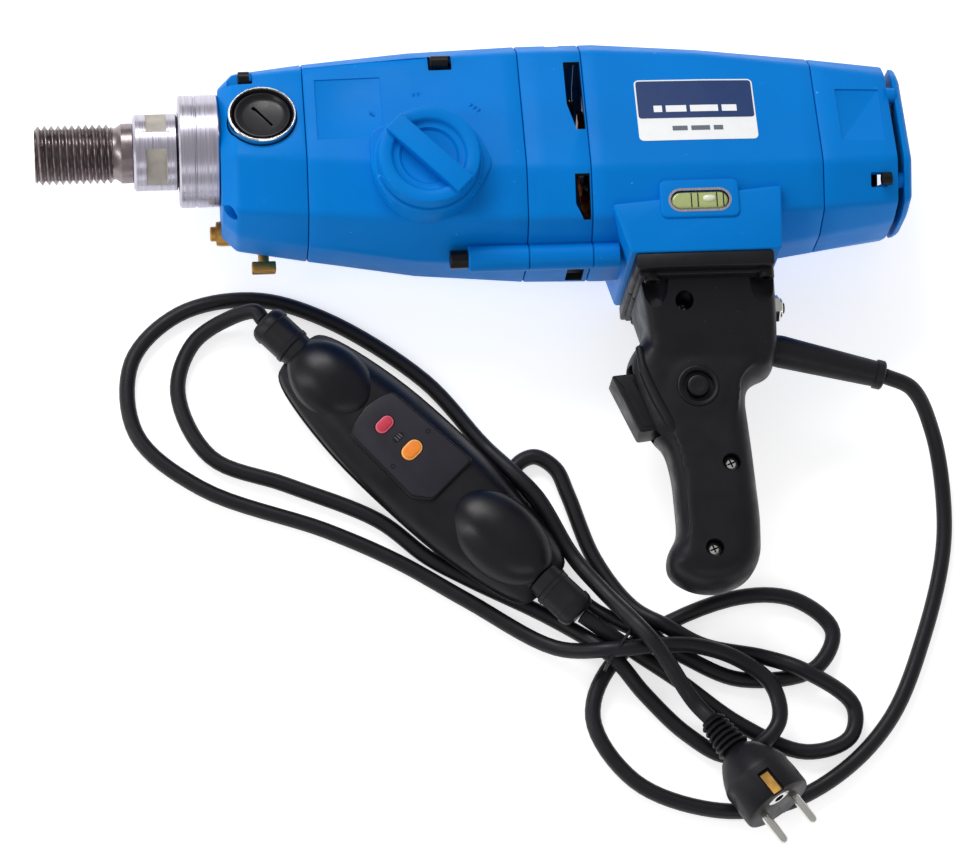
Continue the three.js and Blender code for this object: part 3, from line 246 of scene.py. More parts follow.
def make_materials():
    blue = Surface("blue_paint", (0, 121, 208), 0.42, specular=0.07).mottle(0.05, 18).uneven_gloss(0.06, 60)
    blue.grain(0.00004, 900, 0.35).specks((60, 160, 235), 240, 0.27)
    plastic = Surface("black_plastic", (16, 14, 20), 0.44, specular=0.25).mottle(0.22, 55)
    plastic.uneven_gloss(0.1, 90).grain(0.00006, 1400, 0.5).specks((70, 70, 74), 420, 0.26)
    gloss = Surface("black_gloss", (12, 10, 16), 0.36, specular=0.3).mottle(0.25, 30)
    gloss.uneven_gloss(0.1, 50).grain(0.00003, 900, 0.3)
    rubber = Surface("black_rubber", (17, 15, 21), 0.46, specular=0.3).mottle(0.2, 40)
    rubber.uneven_gloss(0.08, 120).grain(0.00005, 1100, 0.5)
    steel = Surface("machined_steel", (186, 182, 196), 0.3, 1.0).mottle(0.14, 26, (60, 1, 1))
    steel.uneven_gloss(0.1, 20, (70, 1, 1)).grain(0.00004, 30, 0.6, (60, 1, 1))
    thread = Surface("spindle_steel", (136, 126, 128), 0.34, 1.0).mottle(0.22, 60)
    thread.uneven_gloss(0.12, 150).grain(0.00003, 500, 0.5, (3, 1, 1)).specks((84, 68, 58), 160, 0.3)
    black_steel = Surface("blackened_steel", (22, 22, 24), 0.33, 0.6)
    black_steel.mottle(0.3, 200).grain(0.00003, 900)
    chrome = Surface("plated_steel", (214, 212, 208), 0.16, 1.0)
    chrome.mottle(0.06, 120).uneven_gloss(0.06, 200)
    panel = Surface("panel_film", (38, 36, 44), 0.42, specular=0.25)
    panel.mottle(0.15, 70).grain(0.00003, 1800, 0.4)
    surfaces = {
        "blue": blue,
        "plastic": plastic,
        "gloss": gloss,
        "rubber": rubber,
        "steel": steel,
        "thread": thread,
        "flat": Surface("cast_flat", (178, 172, 164), 0.55, 0.75).mottle(0.15, 120).grain(0.00008, 700, 0.8),
        "gear": Surface("gear_steel", (140, 138, 136), 0.38, 1.0).mottle(0.15, 60).uneven_gloss(0.08, 90),
        "dark": Surface("dark_steel", (58, 58, 62), 0.45, 0.9).mottle(0.2, 90).uneven_gloss(0.1, 90),
        "black_steel": black_steel,
        "carbon": Surface("carbon", (40, 40, 42), 0.6).mottle(0.2, 200),
        "copper": Surface("copper", (170, 96, 52), 0.36, 1.0).mottle(0.2, 90).uneven_gloss(0.08, 60),
        "brass": Surface("brass", (190, 146, 78), 0.34, 1.0).mottle(0.25, 70).uneven_gloss(0.12, 80),
        "chrome": chrome,
        "red": Surface("red_plastic", (196, 52, 74), 0.38).mottle(0.1, 300).grain(0.00003, 900),
        "pink": Surface("red_rim", (214, 96, 120), 0.4).mottle(0.1, 300),
        "orange": Surface("orange_plastic", (246, 138, 42), 0.38).mottle(0.08, 300).grain(0.00003, 900),
        "amber": Surface("orange_rim", (250, 178, 96), 0.4).mottle(0.08, 300),
        "panel": panel,
        "navy": Surface("label_navy", (22, 52, 104), 0.35).mottle(0.06, 200),
        "white": Surface("label_white", (240, 242, 244), 0.4).mottle(0.02, 200),
        "grey": Surface("label_grey", (96, 104, 118), 0.5).mottle(0.05, 200),
        "print_grey": Surface("cord_print", (92, 92, 94), 0.55).mottle(0.3, 500),
        "vial": Surface("clear_green", (192, 204, 134), 0.12, coat=0.6).mottle(0.08, 150),
        "bubble": Surface("bubble", (226, 232, 206), 0.08, coat=0.8).mottle(0.04, 200),
        # Near-black for real black lines, screws and windows, and painted shade on the walls of vents,
        # recesses and holes and in the rear gap.
        "inner": Surface("near_black_and_painted_shade", (9, 10, 12), 0.8).mottle(0.3, 90),
    }
    surfaces["vial"].shader.inputs["Transmission Weight"].default_value = 0.25
    return {name: surface.material for name, surface in surfaces.items()}


# ---------------------------------------------------------------- shapes, in millimetres


def v(*parts):
    return Vector(parts)


def loft(rings, closed=False):
    """Skin over rings that have the same number of points; closed joins the last ring to the first."""
    body = bmesh.new()
    rows = [[body.verts.new(p) for p in ring] for ring in rings]
    count = len(rows[0])
    pairs = list(zip(rows, rows[1:]))
    if closed:
        pairs.append((rows[-1], rows[0]))
    for near, far in pairs:
        for k in range(count):
            m = (k + 1) % count
            body.faces.new((near[k], near[m], far[m], far[k]))
    if not closed:
        body.faces.new(list(reversed(rows[0])))
        body.faces.new(rows[-1])
    return clean(body)


def clean(body):
    bmesh.ops.remove_doubles(body, verts=body.verts, dist=1e-3)
    bmesh.ops.recalc_face_normals(body, faces=body.faces)
    return body


def flat_rings(layers):
    """Rings of 2-D points raised to their heights: layers are (outline, z) pairs."""
    return [[v(p.x, p.y, z) for p in outline] for outline, z in layers]


def lathe(profile, sides=72, hollow=False):
    """Body of revolution about x from (x, radius) pairs; a hollow one's profile closes on itself."""
    turns = [2 * math.pi * k / sides for k in range(sides)]
    rings = []
    for x, radius in profile:
        size = max(radius, 1e-5)
        rings.append([v(x, size * math.cos(t), size * math.sin(t)) for t in turns])
    return loft(rings, closed=hollow)


def smooth_loop(points, per):
    """A closed curve through the points, with some steps between each two."""
    count = len(points)
    result = []
    for k in range(count):
        a, b, c, d = (Vector(points[(k + j) % count]).to_2d() for j in (-1, 0, 1, 2))
        for step in range(per):
            t = step / per
            bend = 2 * a - 5 * b + 4 * c - d
            result.append(0.5 * (2 * b + (c - a) * t + bend * t * t + (3 * b - a - 3 * c + d) * t**3))
    return result


def round_corners(points, radius, steps=4):
    """A closed outline with each corner replaced by a short curve."""
    result = []
    count = len(points)
    for k in range(count):
        before, corner, after = (Vector(points[(k + j) % count]).to_2d() for j in (-1, 0, 1))
        back = min(radius, (before - corner).length * 0.45)
        ahead = min(radius, (after - corner).length * 0.45)
        start = corner + (before - corner).normalized() * back
        end = corner + (after - corner).normalized() * ahead
        for step in range(steps + 1):
            t = step / steps
            result.append(start * (1 - t) ** 2 + corner * 2 * t * (1 - t) + end * t * t)
    return result


def inset(outline, distance):
    """The outline moved inwards, corner by corner."""
    area = sum(a.x * b.y - b.x * a.y for a, b in zip(outline, outline[1:] + outline[:1]))
    side = 1 if area > 0 else -1
    result = []
    for k in range(len(outline)):
        along = outline[(k + 1) % len(outline)] - outline[k - 1]
        inward = Vector((-along.y, along.x)).normalized() * side
        result.append(outline[k] + inward * distance)
    return result


def rounded_slab(outline, z0, z1, top=1.0, bottom=0.0, steps=4):
    """A plate between two heights whose upper and lower edges have their own rounding."""
    outline = [Vector(p).to_2d() for p in outline]
    turns = [math.pi / 2 * k / steps for k in range(steps + 1)]
    layers = []
    if bottom > 0:
        for t in turns[:-1]:
            layers.append((inset(outline, bottom * (1 - math.sin(t))), z0 + bottom * (1 - math.cos(t))))
    layers.append((outline, z0 + bottom))
    if top > 0:
        for t in reversed(turns):
            rise = math.pi / 2 - t
            layers.append((inset(outline, top * (1 - math.cos(rise))), z1 - top * (1 - math.sin(rise))))
    else:
        layers.append((outline, z1))
    return loft(flat_rings(layers))


def bevelled(body, radius, segments):
    """Rounds every edge of the body, unless the radius is nothing."""
    if radius:
        edges = body.edges[:]
        bmesh.ops.bevel(body, geom=edges, offset=radius, segments=segments, profile=0.5, affect="EDGES")
    return clean(body)


def block(low, high, radius=0.6, segments=3):
    """A box between two corners with rounded edges."""
    body = bmesh.new()
    bmesh.ops.create_cube(body, size=1)
    low, high = Vector(low), Vector(high)
    for vert in body.verts:
        vert.co = Vector([(low[k] + high[k]) / 2 + vert.co[k] * (high[k] - low[k]) for k in range(3)])
    return bevelled(body, radius, segments)


def hull(points, radius=0.0, segments=3):
    """The convex body around some points, with rounded edges."""
    body = bmesh.new()
    for p in points:
        body.verts.new(p)
    made = bmesh.ops.convex_hull(body, input=body.verts)
    loose = [e for e in made["geom_interior"] if isinstance(e, bmesh.types.BMVert)]
    bmesh.ops.delete(body, geom=loose, context="VERTS")
    bmesh.ops.dissolve_limit(body, angle_limit=math.radians(1), verts=body.verts, edges=body.edges)
    return bevelled(body, radius, segments)


def stadium(x, y, length, width, steps=10):
    """A long round-ended outline lying along y."""
    radius = width / 2
    half = length / 2 - radius
    ends = []
    for side in (1, -1):
        for k in range(steps + 1):
            turn = math.pi * k / steps + (0 if side > 0 else math.pi)
            ends.append(Vector((x + radius * math.cos(turn), y + side * half + radius * math.sin(turn))))
    return ends


def stadium_x(x, y, length, width):
    """The same outline lying along x."""
    return [Vector((x + (p.y - y), y - (p.x - x))) for p in stadium(x, y, length, width)]


def moved(body, matrix):
    bmesh.ops.transform(body, matrix=matrix, verts=body.verts)
    return body


def shifted(body, x, y, z):
    return moved(body, Matrix.Translation((x, y, z)))


def turned(degrees, axis):
    return Matrix.Rotation(math.radians(degrees), 4, axis)


def standing(x, y):
    """Takes a shape drawn along x to one that stands along z at x and y."""
    return Matrix.Translation((x, y, 0)) @ turned(-90, "Y")


def upright(x, y, radius, z0, z1, sides=36):
    """A round bar standing along z."""
    return moved(lathe([(z0, 0), (z0, radius), (z1, radius), (z1, 0)], sides), standing(x, y))


def aimed(axis):
    """Turns the x direction to lie along the axis."""
    return Vector((1, 0, 0)).rotation_difference(Vector(axis)).to_matrix().to_4x4()


def along_line(body, start, end):
    """Lays a shape drawn along x from start towards end."""
    start, end = Vector(start), Vector(end)
    return moved(body, Matrix.Translation(start) @ aimed(end - start))


def mirrored(body):
    bmesh.ops.transform(body, matrix=Matrix.Scale(-1, 4, (0, 0, 1)), verts=body.verts)
    bmesh.ops.reverse_faces(body, faces=body.faces)
    return body


def merged(*bodies):
    result = bodies[0]
    for other in bodies[1:]:
        spare = bpy.data.meshes.new("spare")
        other.to_mesh(spare)
        result.from_mesh(spare)
        other.free()
        bpy.data.meshes.remove(spare)
    return result


def piece(name, body, material, replaces=None, rides="tool", place=TOOL, slot=None, cuts=(),
          cut_material=None, sharp=32):
    """Makes an object of a shape, cuts pockets into it, and ties it to the frame."""
    mesh = bpy.data.meshes.new(name)
    body.to_mesh(mesh)
    body.free()
    mesh.transform(place)
    mesh.materials.append(MATERIALS[material])
    if cut_material:
        mesh.materials.append(MATERIALS[cut_material])
    thing = bpy.data.objects.new(name, mesh)
    bpy.context.collection.objects.link(thing)
    for shape in cuts:
        carve(thing, shape, place, bool(cut_material))
    thing.data.shade_smooth()
    thing.data.set_sharp_from_angle(angle=math.radians(sharp))
    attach(thing, rides)
    if replaces:
        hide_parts(replaces)
    return thing


def carve(thing, shape, place, use_second):
    """Takes a cutting shape out of the object."""
    mesh = bpy.data.meshes.new("cutter")
    shape.to_mesh(mesh)
    shape.free()
    mesh.transform(place)
    mesh.materials.append(thing.data.materials[0])
    if use_second:
        mesh.materials.append(thing.data.materials[1])
        for face in mesh.polygons:
            face.material_index = 1
    cutter = bpy.data.objects.new("cutter", mesh)
    bpy.context.collection.objects.link(cutter)
    modifier = thing.modifiers.new("cut", "BOOLEAN")
    modifier.operation = "DIFFERENCE"
    modifier.solver = "MANIFOLD"
    modifier.object = cutter
    graph = bpy.context.evaluated_depsgraph_get()
    result = bpy.data.meshes.new_from_object(thing.evaluated_get(graph))
    thing.modifiers.clear()
    old = thing.data
    thing.data = result
    bpy.data.meshes.remove(old)
    bpy.data.objects.remove(cutter)
    bpy.data.meshes.remove(mesh)


# ---------------------------------------------------------------- cords


def catmull(points, per=8):
    """Points along the centripetal curve through the route, as the part's own cords follow it."""
    points = [Vector(p) for p in points]
    padded = [2 * points[0] - points[1]] + points + [2 * points[-1] - points[-2]]
    result = []
    for p0, p1, p2, p3 in zip(padded, padded[1:], padded[2:], padded[3:]):
        d01, d12, d23 = (max((b - a).length ** 0.5, 1e-4) for a, b in ((p0, p1), (p1, p2), (p2, p3)))
        start = ((p1 - p0) / d01 - (p2 - p0) / (d01 + d12) + (p2 - p1) / d12) * d12
        end = ((p2 - p1) / d12 - (p3 - p1) / (d12 + d23) + (p3 - p2) / d23) * d12
        square = 3 * (p2 - p1) - 2 * start - end
        cube = 2 * (p1 - p2) + start + end
        for k in range(per):
            t = k / per
            result.append(p1 + start * t + square * t * t + cube * t**3)
    return result + [points[-1]]


def cord(name, route, replaces):
    line = bpy.data.curves.new(name, "CURVE")
    line.dimensions = "3D"
    line.bevel_depth = CORD_DIAMETER / 2
    line.bevel_resolution = 5
    line.use_fill_caps = True
    spots = catmull(route)
    spline = line.splines.new("POLY")
    spline.points.add(len(spots) - 1)
    for point, spot in zip(spline.points, spots):
        point.co = (*spot, 1)
    line.materials.append(MATERIALS["rubber"])
    thing = bpy.data.objects.new(name, line)
    bpy.context.collection.objects.link(thing)
    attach(thing, "tool")
    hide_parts(replaces)
    return thing


# ---------------------------------------------------------------- casing

# Corner stations of the casing, x back from the tip: top, shoulder, ridge, lower edge and bottom.
STATIONS = [
    (106, 39, (33, 23), (-16, 39), (-45, 31), -52.5),
    (143, 43.5, (36, 25), (-20, 41.5), (-49, 34), -59.5),
    (200, 48.5, (39.5, 27), (-26, 45), (-54, 38), -69.5),
    (258, 50.5, (41, 28), (-30, 47), (-57, 41), -74.6),
    (300, 50.5, (41, 28), (-31, 47), (-57, 41), -75.6),
    (356, 46, (38, 27), (-31, 47), (-57, 41), -72),
    (415.5, 39, (30.5, 25), (-31, 46), (-55, 38), -62.5),
    (456, 33.5, (25, 22), (-29, 42), (-51, 33), -55.5),
]
TOP_HALF_FLAT = 12
BOTTOM_HALF_FLAT = 14
WALL = 4
NOSE_FRONT, NOSE_REAR, GEARCASE_REAR, FAN_REAR, MOTOR_REAR, COVER_REAR = 98, 143, 258, 292, 415.5, 456
SEAM = 0.3
EDGE_RADIUS = 3.2
FORWARDS, DOWNWARDS = (-1, 0, 0), (0, -1, 0)


def mix(a, b, t):
    return a + (b - a) * t


def corners_at(x):
    """The casing's (y, z) corners at x, near side then far side."""
    last = len(STATIONS) - 2
    k = next((i for i in range(last + 1) if STATIONS[i + 1][0] >= x), last)
    a, b = STATIONS[k], STATIONS[k + 1]
    t = (x - a[0]) / (b[0] - a[0])
    side = [(mix(a[1], b[1], t), TOP_HALF_FLAT)]
    side += [(mix(p[0], q[0], t), mix(p[1], q[1], t)) for p, q in zip(a[2:5], b[2:5])]
    side.append((mix(a[5], b[5], t), BOTTOM_HALF_FLAT))
    return side + [(y, -z) for y, z in reversed(side)]


def section(x, shrink=0.0):
    """The casing's outline at x with rounded corners, moved in by shrink."""
    outline = inset(round_corners(corners_at(x), EDGE_RADIUS), shrink)
    return [v(x, p.x, p.y) for p in outline]


def section_at(x, shrink, source=None):
    """The outline taken from the station source, or from x, and placed at x."""
    return [v(x, p.y, p.z) for p in section(x if source is None else source, shrink)]


def facet_z(x, y):
    """How far out the near side of the casing is at x and y."""
    side = corners_at(x)[:5]
    for (y0, z0), (y1, z1) in zip(side, side[1:]):
        if y1 <= y <= y0:
            return mix(z0, z1, (y0 - y) / (y0 - y1))
    return side[2][1]


def shell(x0, x1, softness=0.9, ring_step=9):
    """A hollow length of casing with softened ends."""
    span = int((x1 - x0) / ring_step)
    evenly = {x0 + (x1 - x0) * k / span for k in range(1, span)}
    inside = sorted(evenly | {s[0] for s in STATIONS if x0 + 3 < s[0] < x1 - 3})
    outer = [section(x0, softness), section(x0 + 0.25 * softness, 0.35 * softness), section(x0 + softness)]
    outer += [section(x) for x in inside]
    outer += [section(x1 - softness), section(x1 - 0.25 * softness, 0.35 * softness), section(x1, softness)]
    inner = [section(x, WALL) for x in [x1] + inside[::-1] + [x0]]
    return loft(outer + inner, closed=True)


def screw_head(x, y, z, axis, radius=3.9, depth=5, drive=2.0):
    """A socket cap screw's head; its open end faces along the axis."""
    profile = [(-depth, 0.3), (-depth, radius), (-0.5, radius), (0, radius - 0.5), (0, drive),
               (-2.4, drive), (-2.4, 0.3)]
    return moved(lathe(profile, 30, hollow=True), Matrix.Translation((x, y, z)) @ aimed(axis))


# The filling cap's own frame: its x points out of the slanted facet of the nose.
NOSE_CAP = Matrix.Translation((120.5, 6.2, 32.2)) @ turned(-18, "X") @ turned(-90, "Y")
NOSE_SCREWS = [(110, 31.5, 22.5), (110, 31.5, -22.5)]
NOSE_RING = 26


def nose_ring(x):
    """A round ring inside the nose whose points match the casing outline's points."""
    turns = [math.atan2(p.z, p.y + 4) for p in section(106)]
    return [v(x, NOSE_RING * math.cos(t), NOSE_RING * math.sin(t)) for t in turns]


def make_front_cap():
    rings = [nose_ring(NOSE_FRONT)]
    for x, shrink in ((NOSE_FRONT, 8.2), (NOSE_FRONT + 0.5, 7.2), (105, 0.9), (106, 0.2), (108, 0)):
        rings.append(section_at(x, shrink, max(x, 106)))
    rings += [section(NOSE_REAR - 1.2), section(NOSE_REAR - 0.5, 0.3), section(NOSE_REAR - SEAM, 0.9)]
    rings += [section(NOSE_REAR - SEAM, WALL), section(112, WALL), nose_ring(112)]
    seat = moved(lathe([(-14, 0), (-14, 18.6), (14, 18.6), (14, 0)], 64), NOSE_CAP)
    port = lathe([(-6, 0), (-6, 3.9), (9, 3.9), (9, 0)], 40)
    hole = along_line(port, (101, -43.5, 25.5), (90, -44.5, 28.5))
    pockets = [seat, hole]
    for x, y, z in NOSE_SCREWS:
        pockets.append(block((x - 7, y - 3.2, z - 4.6), (x + 6.5, y + 12, z + 9), 0.8))
    piece("front_cap_finish", loft(rings, closed=True), "blue", "front_cap", cuts=pockets)
    heads = merged(*[screw_head(x - 1.2, y + 0.6, z, FORWARDS, 3.9, 6) for x, y, z in NOSE_SCREWS])
    piece("nose_screws", heads, "black_steel")


def make_nose_cap():
    ring = [(-4, 15.3), (-4, 17.0), (4.1, 17.0), (4.0, 16.4), (2.4, 15.9), (1.6, 15.3)]
    piece("nose_cap_seat", moved(lathe(ring, 80, hollow=True), NOSE_CAP), "gloss")
    rim = [(-4, 17.05), (-4, 18), (3.6, 18), (4.2, 17.6), (4.2, 17.05)]
    piece("nose_cap_ring_finish", moved(lathe(rim, 80, hollow=True), NOSE_CAP), "chrome", "nose_cap_ring",
          slot="bright_ring")
    cap = [(-4, 0), (-4, 15.2), (2.2, 15.2), (3.0, 14.6), (3.1, 13.8), (2.4, 13.0), (1.7, 12.2), (1.3, 10),
           (1.2, 0)]
    groove = moved(block((-1, -8, -1.1), (4, 8, 1.1), 0.5), NOSE_CAP @ turned(38, "X"))
    piece("nose_cap_finish", moved(lathe(cap, 80), NOSE_CAP), "gloss", "nose_cap", cuts=[groove])


TUBE_CENTRE = (-72.7, 23.5)
TUBE_RADIUS = 7
TUBE_FRONT, TUBE_REAR = 226, 306


def screw_tube(x0, x1):
    """Rounded boss for a long screw along the casing's lower edge, faired into it."""
    y, z = TUBE_CENTRE
    outline = [(x0, 0), (x0, TUBE_RADIUS - 1), (x0 + 1, TUBE_RADIUS), (x1, TUBE_RADIUS), (x1, 0)]
    web = [(6.4, 0.6), (-5.6, -3.2), (4, -12), (11, -4)]
    fairing = hull([v(x, y + dy, z + dz) for x in (x0 + 0.4, x1) for dy, dz in web], 0.3, 1)
    return merged(shifted(lathe(outline, 48), 0, y, z), fairing)


KNOB_CENTRE = (206, -26)
KNOB_SEAT, KNOB_TOP, KNOB_RADIUS = 51, 61, 27
CHANNEL_END = 222


def channel_cutters():
    """The step sunk along the shoulder from the nose back to a screw, on both sides."""
    cutters = []
    for side in (1, -1):
        rings = []
        for x in (NOSE_REAR - 2, 160, 180, CHANNEL_END):
            y, z = corners_at(x)[1]
            corners = ((0.6, -1.6), (4, 10), (-6, 12), (-3.2, 0.4))
            rings.append([v(x, y + dy, (z + dz) * side) for dy, dz in corners])
        cutters.append(loft(rings))
        low, high = sorted((21 * side, 42 * side))
        cutters.append(block((CHANNEL_END - 12, 31.5, low), (CHANNEL_END + 0.5, 40.8, high), 0.8))
    return cutters


def facet_fields(x0, x1, y0, y1, depth):
    """Cutting shapes for a shallow field sunk into the upper facet of both sides."""
    fields = []
    for side in (1, -1):
        corners = []
        for x, y in ((x0, y0), (x1, y0), (x1, y1), (x0, y1)):
            z = facet_z(x, y)
            corners += [v(x, y, (z - depth) * side), v(x, y, (z + 8) * side)]
        fields.append(hull(corners, 0.5, 2))
    return fields


def make_gear_housing():
    piece("gear_housing_finish", shell(NOSE_REAR, GEARCASE_REAR - SEAM), "blue", "gear_housing",
          cuts=channel_cutters() + facet_fields(149, 184, 28.5, -9, 0.7))
    wide = KNOB_RADIUS + 1.8
    boss = lathe([(20, 0), (20, wide + 1.8), (40, wide + 1.2), (46, wide + 0.6), (49.6, wide),
                  (50.4, wide - 0.7), (50.6, wide - 1.8), (50.6, 0)], 96)
    wing = [(206, -55.5), (186, -50), (176, -30), (176, -8), (206, 4), (232, -8), (240.5, -27), (229, -46)]
    wing = rounded_slab(round_corners(wing, 5), 30, 47.4, 1.0)
    piece("knob_boss", merged(moved(boss, standing(*KNOB_CENTRE)), wing), "blue")
    piece("screw_tube", screw_tube(TUBE_FRONT, GEARCASE_REAR - SEAM), "blue")
    heads = [screw_head(216.5, *TUBE_CENTRE, FORWARDS, 5.0, 9.8, 2.6)]
    heads += [screw_head(CHANNEL_END - 11, 36, side * 28.6, FORWARDS, 3.9, 9.5) for side in (1, -1)]
    piece("gearcase_screws", merged(*heads), "black_steel")


def make_speed_marks():
    """Three plain raised marks above the knob: one, two and three small bars."""
    cx, cy = KNOB_CENTRE
    ring, pitch = 42, 2.6
    marks = []
    for count, angle in ((1, -41), (2, -5), (3, 39)):
        turn = math.radians(angle)
        for k in range(count):
            along = (k - (count - 1) / 2) * pitch
            x = cx + ring * math.sin(turn) + along * math.cos(turn)
            y = cy + ring * math.cos(turn) - along * math.sin(turn)
            lean = turned(16, "X") @ Matrix.Rotation(-turn, 4, "Z")
            place = Matrix.Translation((x, y, facet_z(x, y))) @ lean
            marks.append(moved(block((-0.5, -2.0, -0.4), (0.5, 2.0, 0.35), 0.2, 2), place))
    piece("speed_marks", merged(*marks), "blue")


def make_knob():
    """Round knob whose dished fields leave a raised diagonal grip bar between them."""
    rim = [(-2.6, 0.2), (-1.3, 0.8), (-0.9, 2.0), (-0.9, 6.2), (-1.5, 7.2), (-3.4, 8.2), (-3.9, 9.4),
           (-3.9, 11.2), (-5.4, 12.6), (-5.8, 14.5)]
    profile = [(KNOB_SEAT, 0), (KNOB_SEAT, KNOB_RADIUS)]
    profile += [(KNOB_TOP + drop, KNOB_RADIUS - step) for drop, step in rim]
    disc = lathe(profile + [(KNOB_TOP - 5.9, 0)], 96)
    grip = block((-25.8, -5.8, KNOB_TOP - 9), (25.8, 5.8, KNOB_TOP + 2.2), 1.0, 4)
    turn = Matrix.Translation((*KNOB_CENTRE, 0)) @ turned(-45, "Z")
    piece("speed_knob_finish", merged(moved(disc, standing(*KNOB_CENTRE)), moved(grip, turn)), "blue",
          "speed_knob", "speed_knob")


UPPER_VENT = [(282, 34), (290.8, 34), (290.8, -8), (286, -8), (282, 8)]
LOWER_VENT = [(283, -34.5), (290.8, -34.5), (290.8, -58), (287, -58), (283, -50)]


def make_fan_housing():
    """The fan's shell with two air slots on each side, a notch above and one below."""
    cuts = []
    for side in (1, -1):
        for outline in (UPPER_VENT, LOWER_VENT):
            cuts.append(hull([v(x, y, z * side) for z in (20, 60) for x, y in outline]))
    cuts += [block((274, 48.5, -20), (282, 60, 20), 0.8), block((280, -80, -10), (289, -69, 10), 0.8)]
    # The cut walls of the slots and notches take the near-black colour: painted shade inside the openings.
    piece("fan_housing_finish", shell(GEARCASE_REAR, FAN_REAR - SEAM), "blue", "fan_housing", cuts=cuts,
          cut_material="inner")
    piece("fan_tube", screw_tube(GEARCASE_REAR, FAN_REAR - SEAM), "blue")


LEVEL_CENTRE = (348, -51.5)
LEVEL_FLOOR = 44.6


def level_pocket():
    return rounded_slab(stadium_x(*LEVEL_CENTRE, 32, 11.6), LEVEL_FLOOR, 60, 0)


def make_motor_housing():
    near = [(310, -79.2, 46), (390, -79.2, 46), (302, -52, 46), (392, -44, 46.6), (309, -64, 46.4),
            (390, -60, 46.4)]
    saddle = hull([v(x, y, z * side) for side in (1, -1) for x, y, z in near], 1.2)
    field = rounded_slab(round_corners([(327, -40), (369, -40), (369, -61), (327, -61)], 4), 40, 47.7, 1.2)
    shape = shell(FAN_REAR, MOTOR_REAR - SEAM)
    piece("motor_housing_finish", shape, "blue", "motor_housing", cuts=[level_pocket()])
    piece("handle_saddle", saddle, "blue", cuts=[level_pocket()])
    piece("level_field", field, "blue", cuts=[level_pocket()])
    piece("motor_tube", screw_tube(FAN_REAR, TUBE_REAR), "blue")


def facet_plate(x0, x1, y0, y1, lift, thickness, corner=0.0):
    """A thin plate from x0 to x1 and from y0 down to y1 that follows the casing's upper facet."""
    columns = max(2, int((x1 - x0) / 2)) + (6 if corner else 0)
    rows = 12
    rings = []
    for i in range(columns + 1):
        x = mix(x0, x1, (1 - math.cos(math.pi * i / columns)) / 2 if corner else i / columns)
        near_end = max(0.0, corner - min(x - x0, x1 - x))
        pull = corner - math.sqrt(max(0.0, corner**2 - near_end**2)) if corner else 0
        heights = [mix(y0 - pull, y1 + pull, j / rows) for j in range(rows + 1)]
        top = [v(x, y, facet_z(x, y) + lift) for y in heights]
        under = [v(x, y, facet_z(x, y) + lift - thickness) for y in reversed(heights)]
        rings.append(top + under)
    return loft(rings)


def make_label():
    """A plain two-tone badge: navy above white, with generic bars and no lettering."""
    x0, x1, y0, y1 = 319.6, 381.6, 20.6, -15.6
    border = 0.8
    split = mix(y0, y1, 0.64)
    base = facet_plate(x0 - border, x1 + border, y0 + border, y1 - border, 0.35, 1.0, 2.6)
    piece("label_base", base, "white")
    piece("label_field", facet_plate(x0, x1, y0, split, 0.5, 0.8, 1.6), "navy")
    upper = ((328, 4.5), (334.5, 11), (347.5, 15), (364.5, 8))
    lower = ((337, 8), (347, 10), (359, 5))
    bars = [facet_plate(x, x + width, 5.2, 1.2, 0.62, 0.6) for x, width in upper]
    low_bars = [facet_plate(x, x + width, -7.6, -10.4, 0.5, 0.6) for x, width in lower]
    piece("label_bars", merged(*bars), "white")
    piece("label_low_bars", merged(*low_bars), "grey")


def make_level():
    vial = rounded_slab(stadium_x(*LEVEL_CENTRE, 30.4, 9.6), LEVEL_FLOOR, 47.4, 1.8, 0, 5)
    piece("bubble_level_finish", vial, "vial", "bubble_level")
    outer, inner = stadium_x(*LEVEL_CENTRE, 33.6, 13), stadium_x(*LEVEL_CENTRE, 31, 10.4)
    bezel = loft(flat_rings([(outer, 46.6), (outer, 47.9), (inner, 47.9), (inner, 46.6)]), closed=True)
    piece("level_bezel", bezel, "steel", slot="bright_ring")
    bubble = lathe([(-3.6, 0), (-3.2, 1.2), (-2, 1.9), (0, 2.1), (2, 1.9), (3.2, 1.2), (3.6, 0)], 24)
    piece("level_bubble", shifted(bubble, 353, -50.6, 46.6), "bubble")
    lines = [block((x - 0.3, -55.4, 46.8), (x + 0.3, -47.6, 47.62), 0.1, 1) for x in (343.5, 347, 357, 360.5)]
    piece("level_lines", merged(*lines), "inner")


